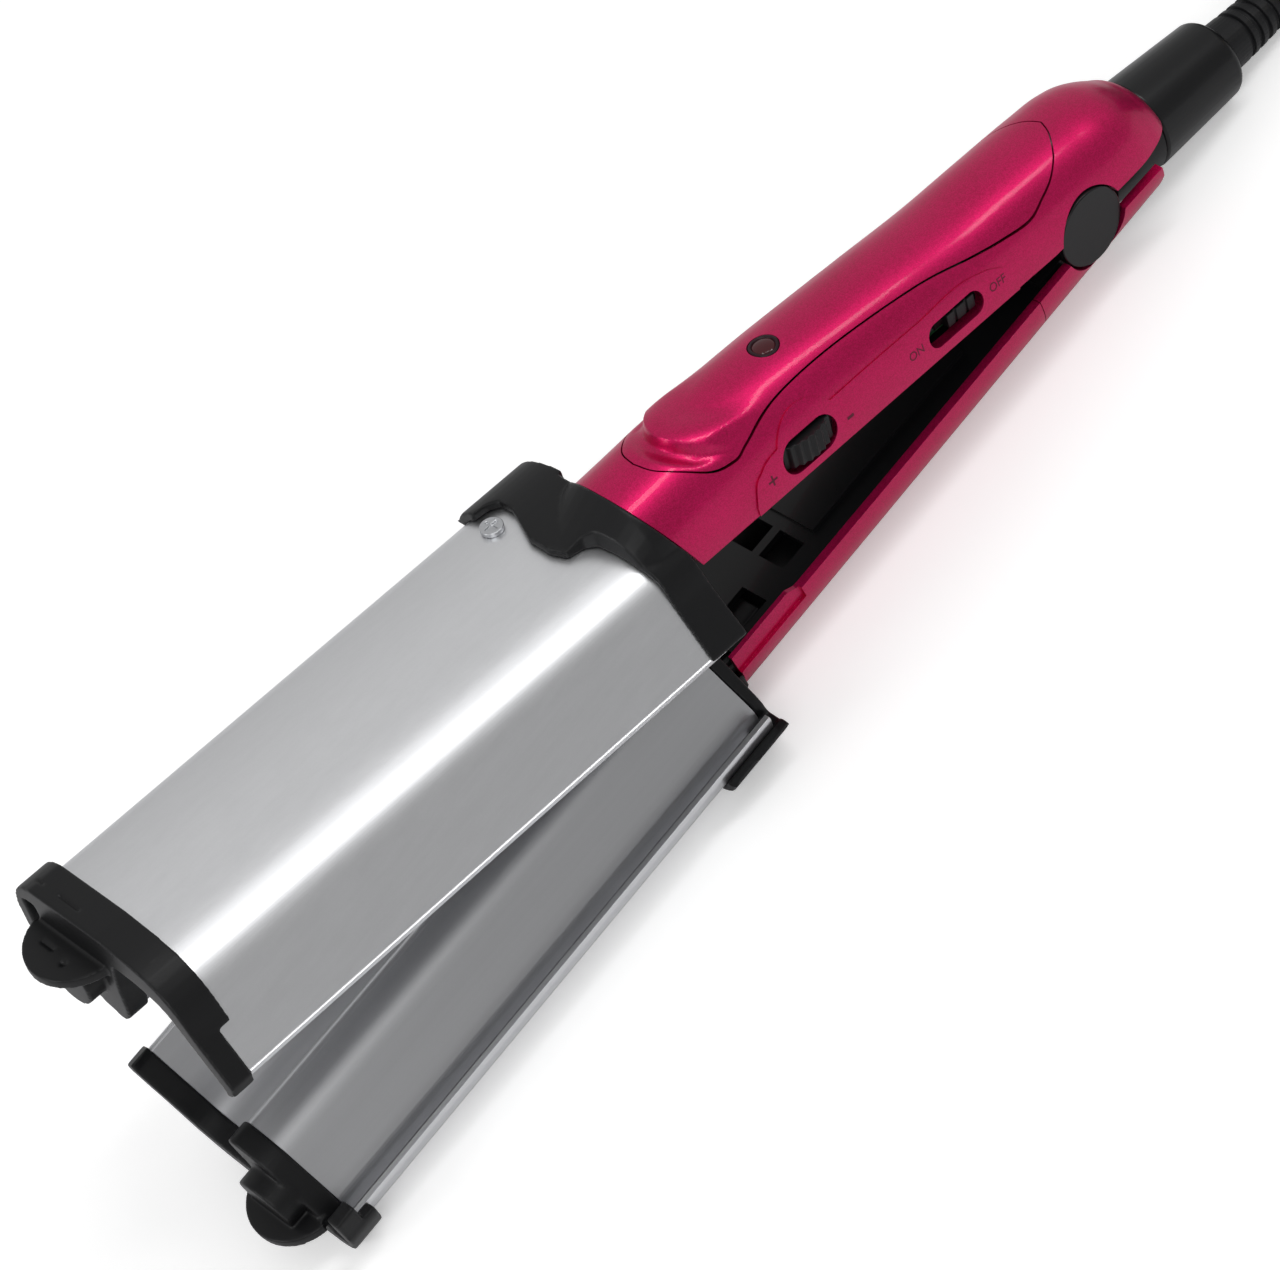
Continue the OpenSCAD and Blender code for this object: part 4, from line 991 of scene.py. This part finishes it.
@dataclass
class Cord:
    """Strain relief, cord, coil and plug; the route is the solid model's own."""

    finishes: Finishes
    diameter: float = 6.4
    relief: float = 12.2
    bend: float = 115.0
    coil_inner: float = 26.0
    pitch: float = 7.0
    loops: int = 2
    layers: int = 3
    run: float = 52.0
    shift: float = 9.0
    lift: float = 7.4
    climb: float = 12.2
    tail: float = 8.0
    tie_at: float = 215.0
    tie_width: float = 5.0
    tie_over: float = 0.65
    tie_under: float = 0.05

    def relief_path(self) -> Array:
        """Straight behind the swivel, then an arc down to the level, in metres."""
        a = math.radians(Arm.UPPER.value)
        start = Arm.UPPER.place(np.array([-55.6, 0, -0.9])) * 1000
        turn = Arm.UPPER.place(np.array([-62.0, 0, -0.9])) * 1000
        t = np.linspace(0, 1, 90)
        angle = -a * (1 - t)
        bow = np.stack([np.sin(angle) - math.sin(-a), 0 * t, math.cos(-a) - np.cos(angle)], 1)
        arc = turn + self.bend * bow
        straight = start + (turn - start) * np.linspace(0, 1, 24)[:, None]
        return np.vstack([straight[:-1], arc]) / 1000

    def ease(self, t: Array) -> Array:
        """3t^2 - 2t^3, held between 0 and 1."""
        return smooth(t, 0.0, 1.0)

    def route(self, start: Array) -> Array:
        """The free cord: a run down to the surface, three layers of loops, and the tail into the plug on top.

        The run shifts sideways by a smooth step. A layer's loops spiral in or out by the pitch for each turn,
        and a quarter turn leads to the next layer. Height rises by smooth steps at each new layer and at the
        end.

        Args:
            start: the end of the strain relief in millimetres.
        Returns:
            The centreline in metres.
        """
        cz, n = self.diameter / 2, self.loops
        outer = self.coil_inner + n * self.pitch
        middle = np.array([start[0] - self.run, self.shift - outer, 0.0])
        t = np.linspace(0, 1, 28)
        run = np.stack([start[0] - self.run * t, self.shift * self.ease((t * self.run - 8) / (self.run - 8)),
                        start[2] + (cz - start[2]) * self.ease((t - 0.1) / 0.78)], 1)
        turns = self.layers * (n + 0.25)
        u = np.linspace(0, turns, 487)
        layer = np.minimum(np.floor(u / (n + 0.25)), self.layers - 1)
        along = np.minimum(u - layer * (n + 0.25), n)
        r = np.where(layer % 2 == 0, outer - self.pitch * along, self.coil_inner + self.pitch * along)
        z = cz + self.climb * self.ease((u - turns + 0.4) / 0.4)
        z = z + self.lift * (self.ease((u - n + 0.1) / 0.5) + self.ease((u - 2 * n - 0.15) / 0.5))
        a = math.pi / 2 + 2 * math.pi * u
        coil = middle + np.stack([r * np.cos(a), r * np.sin(a), z], 1)
        s = np.linspace(0, 1, 6)[1:, None]
        tail = coil[-1] + s * np.array([0, self.tail, 0])
        return np.vstack([run[:-1], coil, tail]) / 1000

    def build(self) -> bpy.types.Object:
        path = self.relief_path()
        full, small = self.relief / 2000, self.relief / 2000 - 0.0013

        def ribbed(t: Array) -> Array:
            """The radius falls towards the end and dips between nine ribs."""
            rib = smooth(np.cos((t - 0.2) / 0.8 * 2 * math.pi * 8), -0.55, 0.1)
            return full + (small - full) * t - 0.0007 * (1 - rib) * (t > 0.2)

        share, knots = np.linspace(0, 1, 260), np.linspace(0, 1, len(path))
        fine = np.stack([np.interp(share, knots, path[:, i]) for i in range(3)], 1)
        boot = tube("StrainRelief", fine, ribbed, 40)
        boot.finish("cord", self.finishes.rubber, "cord_rubber", "strain_relief", round_mm=0)
        start = path[-1] * 1000
        line = self.route(start)
        lead = tube("Cord", line, lambda t: np.full_like(t, self.diameter / 2000), 16)
        cord = lead.finish("cord", self.finishes.rubber, "cord_rubber", "cord_run", "cord_coil", "cord_tail",
                           round_mm=0)
        plug = self.plug(line[-1] * 1000)
        blades = Carried(self.finishes).smooth_copy("plug_blades", "PlugBlades", "cord", self.finishes.brass,
                                                    0.2)
        self.tie(start, line)
        return cord

    def tie(self, start: Array, line: Array) -> bpy.types.Object:
        """The strap that holds the coil, along the convex outline of the strands where it crosses them.

        In each direction the outline is the farthest strand's centre plus the cord's radius.

        Args:
            start: the end of the strain relief in millimetres.
            line: the cord's centreline in metres.
        Returns:
            The Blender object.
        """
        a = np.linspace(0, 2 * math.pi, 96, endpoint=False)
        ray = np.column_stack([np.cos(a), np.sin(a)])
        middle = np.array([start[0] - self.run, self.shift - self.coil_inner - self.loops * self.pitch])
        side = math.radians(self.tie_at)
        out, along = np.array([math.cos(side), math.sin(side)]), np.array([-math.sin(side), math.cos(side)])
        flat = line[:, :2] * 1000 - middle
        near = (np.abs(flat @ along) < 2.2) & (flat @ out > 10)
        strands = np.column_stack([flat[near] @ out, line[near, 2] * 1000])
        far = strands[np.argmax(strands @ ray.T, axis=0)]
        rows, over, under, half = [], self.tie_over, self.tie_under, self.tie_width / 2
        for grow, aside in ((over, -half), (over, half), (under, half), (under, -half)):
            shape = far + (self.diameter / 2 + grow) * ray
            level = middle + shape[:, :1] * out + aside * along
            rows.append(np.column_stack([level, np.maximum(shape[:, 1], 0.02)]))
        piece = Piece.grid("CoilTie", np.stack(rows, 1) / 1000, close_u=True, close_v=True).build()
        return piece.finish("cord", self.finishes.rubber, "cord_rubber", round_mm=0.1)

    def plug(self, at: Array) -> bpy.types.Object:
        """The plug's body: superellipse sections that widen from the cord to the face, with dips to grip.

        Args:
            at: the end of the cord in millimetres.
        Returns:
            The Blender object.
        """
        knots = [[0, 4.3, 4.3, 2], [9, 5.3, 4.9, 2], [14, 7.8, 6.4, 2.6], [20, 11.2, 7.8, 3.2],
                 [27, 11.9, 8.2, 3.5], [34, 11.9, 8.2, 3.6], [35.5, 11.2, 7.5, 3.6]]
        y = np.linspace(0, 35.5, 80)
        w, h, n = np.moveaxis(through(y, knots), -1, 0)
        w = w - 0.8 * np.exp(-((y - 24) / 4) ** 2)
        a = np.linspace(0, 2 * math.pi, 64, endpoint=False)[None, :]
        px = w[:, None] * signed_power(np.cos(a), 2 / n[:, None])
        pz = h[:, None] * signed_power(np.sin(a), 2 / n[:, None])
        surface = np.stack([at[0] + px, at[1] + across(y, 64), at[2] + pz], -1) / 1000
        piece = Piece.grid("PlugBody", surface, close_v=True, caps=True).build()
        return piece.finish("cord", self.finishes.rubber, "cord_rubber", "plug_body", round_mm=0.5, angle=55)


# ---------------------------------------------------------------- carried-over solids and the studio


@dataclass
class Carried:
    """Finishes for the solids that keep their own shape."""

    finishes: Finishes
    voxel: float = 0.00027
    relax: int = 14
    share_kept: float = 0.16
    least: float = 0.18
    thin: float = 0.65

    def smooth_copy(self, node: str, name: str, body: str, material: bpy.types.Material,
                    round_mm: float, keep_angle: float = 33.0, mould: bool = False) -> bpy.types.Object:
        """A copy of a CAD node whose flat facets are merged, and whose gentle edges are shaded smooth.

        A moulded copy is remeshed finely and relaxed, which rounds its edges and blends its creases.

        Args:
            node: the CAD node.
            name: the piece's name.
            body: the CAD body.
            material: the finish.
            round_mm: the radius along sharp edges.
            keep_angle: edges under this angle in degrees are smooth.
            mould: blends the creases.
        Returns:
            The Blender object.
        """
        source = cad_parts[node]
        mesh = source.data.copy()
        mesh.transform(source.matrix_world)
        mesh.materials.clear()
        mesh.materials.append(material)
        bm = bmesh.new()
        bm.from_mesh(mesh)
        bmesh.ops.remove_doubles(bm, verts=bm.verts, dist=4e-6)
        bmesh.ops.dissolve_limit(bm, angle_limit=math.radians(0.6), verts=bm.verts, edges=bm.edges)
        for face in bm.faces:
            face.smooth = True
        for edge in bm.edges:
            edge.smooth = edge.is_manifold and edge.calc_face_angle(math.pi) < math.radians(keep_angle)
        bm.to_mesh(mesh)
        bm.free()
        obj = linked(name, mesh)
        if mould:
            self.strengthen(mesh, Arm.UPPER if body == "handle" else Arm.LOWER)
            piece = Piece(name, np.zeros((0, 3)), np.zeros((0, 4)), obj)
            piece.modifier("REMESH", mode="VOXEL", voxel_size=self.voxel, use_smooth_shade=True)
            piece.modifier("SMOOTH", factor=0.5, iterations=self.relax)
            piece.modifier("DECIMATE", decimate_type="COLLAPSE", ratio=self.share_kept)
            piece.bake()
        else:
            edge_finish(obj, round_mm, keep_angle)
        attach(obj, body)
        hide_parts(node)
        log.info("smooth copy %s, %d faces", name, len(mesh.polygons))
        return obj

    def strengthen(self, mesh: bpy.types.Mesh, arm: Arm) -> None:
        """Moves points of the thin edge that stand low over the cover's section out to one height.

        Args:
            mesh: the copy's mesh, in row-frame metres.
            arm: the arm that it belongs to.
        """
        p = arm.bring_back(triples(mesh.vertices, "co"))
        p = turned(p) if arm is Arm.LOWER else p
        curve = catmull(Jaw(self.finishes, arm, "").knots(), 40)
        normal = offset(curve, 1.0) - curve
        away = p[:, None, 1:] - curve[None]
        near = np.argmin((away ** 2).sum(-1), axis=1)
        height = (away[np.arange(len(p)), near] * normal[near]).sum(-1)
        low = (height > self.least) & (height < self.thin) & (p[:, 1] > 5)
        move = np.where(low, self.thin - height, 0.0)
        p[:, 1:] += move[:, None] * normal[near]
        p = turned(p) if arm is Arm.LOWER else p
        mesh.vertices.foreach_set("co", arm.place(p).reshape(-1))

    def dress(self) -> None:
        """Smooth copies of what shows, and plain finishes for what is inside."""
        f = self.finishes
        for node, name, body, material, slot, radius in [
                ("upper_front_cap", "UpperCap", "handle", f.black, "black_plastic", 0.7),
                ("lower_front_cap", "LowerCap", "lower_arm", f.black, "black_plastic", 0.7),
                ("upper_collar", "UpperCollar", "handle", f.black, "black_plastic", 0.6),
                ("lower_collar", "LowerCollar", "lower_arm", f.black, "black_plastic", 0.6),
                ("upper_chassis", "UpperChassis", "handle", f.black, "black_plastic", 0.3),
                ("cord_swivel", "CordSwivel", "cord", f.gloss, "black_plastic", 0.25),
                ("switch_button", "SwitchButton", "power_switch", f.black, "black_plastic", 0.2),
                ("temp_dial", "TempDial", "heat_dial", f.black, "black_plastic", 0.12),
                ("lower_liner", "LowerLiner", "lower_arm", f.gloss, "gloss_black", 0.4),
                ("hinge_caps", "HingeCaps", "lower_arm", f.gloss, "gloss_black", 0.4),
                ("upper_screw", "UpperScrew", "handle", f.steel, "steel", 0.15),
                ("lower_screw", "LowerScrew", "lower_arm", f.steel, "steel", 0.15)]:
            self.smooth_copy(node, name, body, material, radius, mould=radius > 0.5)
        for material, names in [
                (f.grey, ["dial_pot", "switch_body"]), (f.board, ["control_board"]),
                (f.steel, ["hinge_pin", "upper_fuse", "swivel_clip", "torsion_spring"]),
                (f.ceramic, ["upper_heater", "lower_heater"]), (f.sleeve, ["upper_leads", "lower_leads"])]:
            for name in names:
                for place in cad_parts[name].material_slots:
                    place.material = material


@dataclass
class Studio:
    """Floor, world, lamps and camera."""

    eye: tuple[float, float, float] = (0.24184, 0.53032, 0.68363)
    turn: tuple[float, float, float] = (36.16626, 20.62920, 133.02622)
    lens: float = 122.42
    shift: tuple[float, float] = (0.00233, -0.00234)
    bright_way: tuple[float, float, float] = (-0.25, -0.62, 0.75)
    tones: tuple[tuple[float, float], ...] = ((0.0, 0.22), (0.30, 0.34), (0.55, 0.36), (0.80, 0.54), (1.0, 0.60))

    def camera(self) -> None:
        """A long lens looking down along the open jaws."""
        data = bpy.data.cameras.new("Camera")
        data.lens, data.sensor_width, data.sensor_fit = self.lens, 36.0, "HORIZONTAL"
        data.shift_x, data.shift_y, data.clip_end = self.shift[0], self.shift[1], 50.0
        obj = linked("Camera", data)
        obj.location, obj.rotation_euler = self.eye, [math.radians(a) for a in self.turn]
        bpy.context.scene.camera = obj

    def lamp(self, name: str, place: Sequence[float], size: Sequence[float], power: float) -> None:
        """An area lamp that faces the tool.

        Args:
            name: its name.
            place: where it stands, in metres.
            size: its two sides.
            power: in watts.
        """
        data = bpy.data.lights.new(name, "AREA")
        data.shape, data.size, data.size_y, data.energy = "RECTANGLE", size[0], size[1], power
        obj = linked(name, data)
        x, y, z = np.array([0.0, 0.0, 0.03]) - np.asarray(place)
        obj.rotation_euler = (math.atan2(math.hypot(x, y), -z), 0, math.atan2(y, x) - math.pi / 2)
        obj.location = place

    def floor(self) -> None:
        """A wide sheet under the tool: white to the camera, and grey in the tool's own gloss."""
        g = Graph("Pale floor")
        gloss = g.node("ShaderNodeLightPath", output="Is Glossy Ray")
        seen = g.node("ShaderNodeLightPath", output="Is Camera Ray")
        cloud = g.noise(g.coords(), 3.0, 2.0)
        white = g.mix(cloud, rgba((0.90, 0.90, 0.90)), rgba((0.93, 0.93, 0.93)))
        pale = g.surface(Base_Color=g.mix(gloss, white, rgba((0.80, 0.80, 0.81))), Roughness=0.9,
                         Emission_Color=rgba((1, 1, 1)), Emission_Strength=seen * 0.30)
        corners = np.array([[[-6, -6, 0], [-6, 6, 0]], [[6, -6, 0], [6, 6, 0]]], float)
        piece = Piece.grid("Floor", corners).build()
        if piece.obj.data.polygons[0].normal.z < 0:
            piece.obj.data.flip_normals()
        piece.obj.data.materials.append(pale)
        piece.obj.location.z = -0.0002

    def world(self) -> None:
        """White to the camera; as light and in glosses, bright above and behind, dark by the switch side."""
        g = Graph("Studio", world=True)
        place = g.node("ShaderNodeTexCoord", output="Generated")
        way = g.node("ShaderNodeVectorMath", {"operation": "DOT_PRODUCT"}, {0: place, 1: self.bright_way},
                     "Value")
        half = g.node("ShaderNodeMapRange", inputs={"Value": way, "From Min": -1.0})
        stops = [(position, (tone, tone, tone)) for position, tone in self.tones]
        ramp = g.node("ShaderNodeValToRGB", {"stops": stops}, {"Fac": half})
        room = g.node("ShaderNodeBackground", inputs={"Color": ramp})
        white = g.node("ShaderNodeBackground", inputs={"Color": rgba((1, 1, 1))})
        seen = g.node("ShaderNodeLightPath", output="Is Camera Ray")
        bpy.context.scene.world = g.close(g.node("ShaderNodeMixShader", inputs={0: seen, 1: room, 2: white}))

    def build(self) -> None:
        """Sets up the studio."""
        self.camera()
        self.floor()
        self.world()
        self.lamp("Band", (-0.42, 0.17, 0.95), (0.12, 0.9), 2.8)
        self.lamp("Fill", (0.7, 0.9, 1.0), (0.8, 0.8), 5.0)
        self.lamp("Tips", (1.1, -0.15, 0.55), (0.4, 0.4), 3.0)
        bpy.context.scene.view_settings.view_transform = "Standard"


def main() -> None:
    """Builds the studio, the cord, the jaws and the handles, then dresses the carried-over solids."""
    logging.basicConfig(level=logging.INFO, format="%(name)s: %(message)s")
    finishes = Finishes()
    Studio().build()
    Cord(finishes).build()
    Jaw(finishes, Arm.UPPER, "handle").build()
    Jaw(finishes, Arm.LOWER, "lower_arm").build()
    UpperHandle(finishes).build()
    LowerHandle(finishes).build()
    Carried(finishes).dress()


if __name__ == "__main__":
    main()
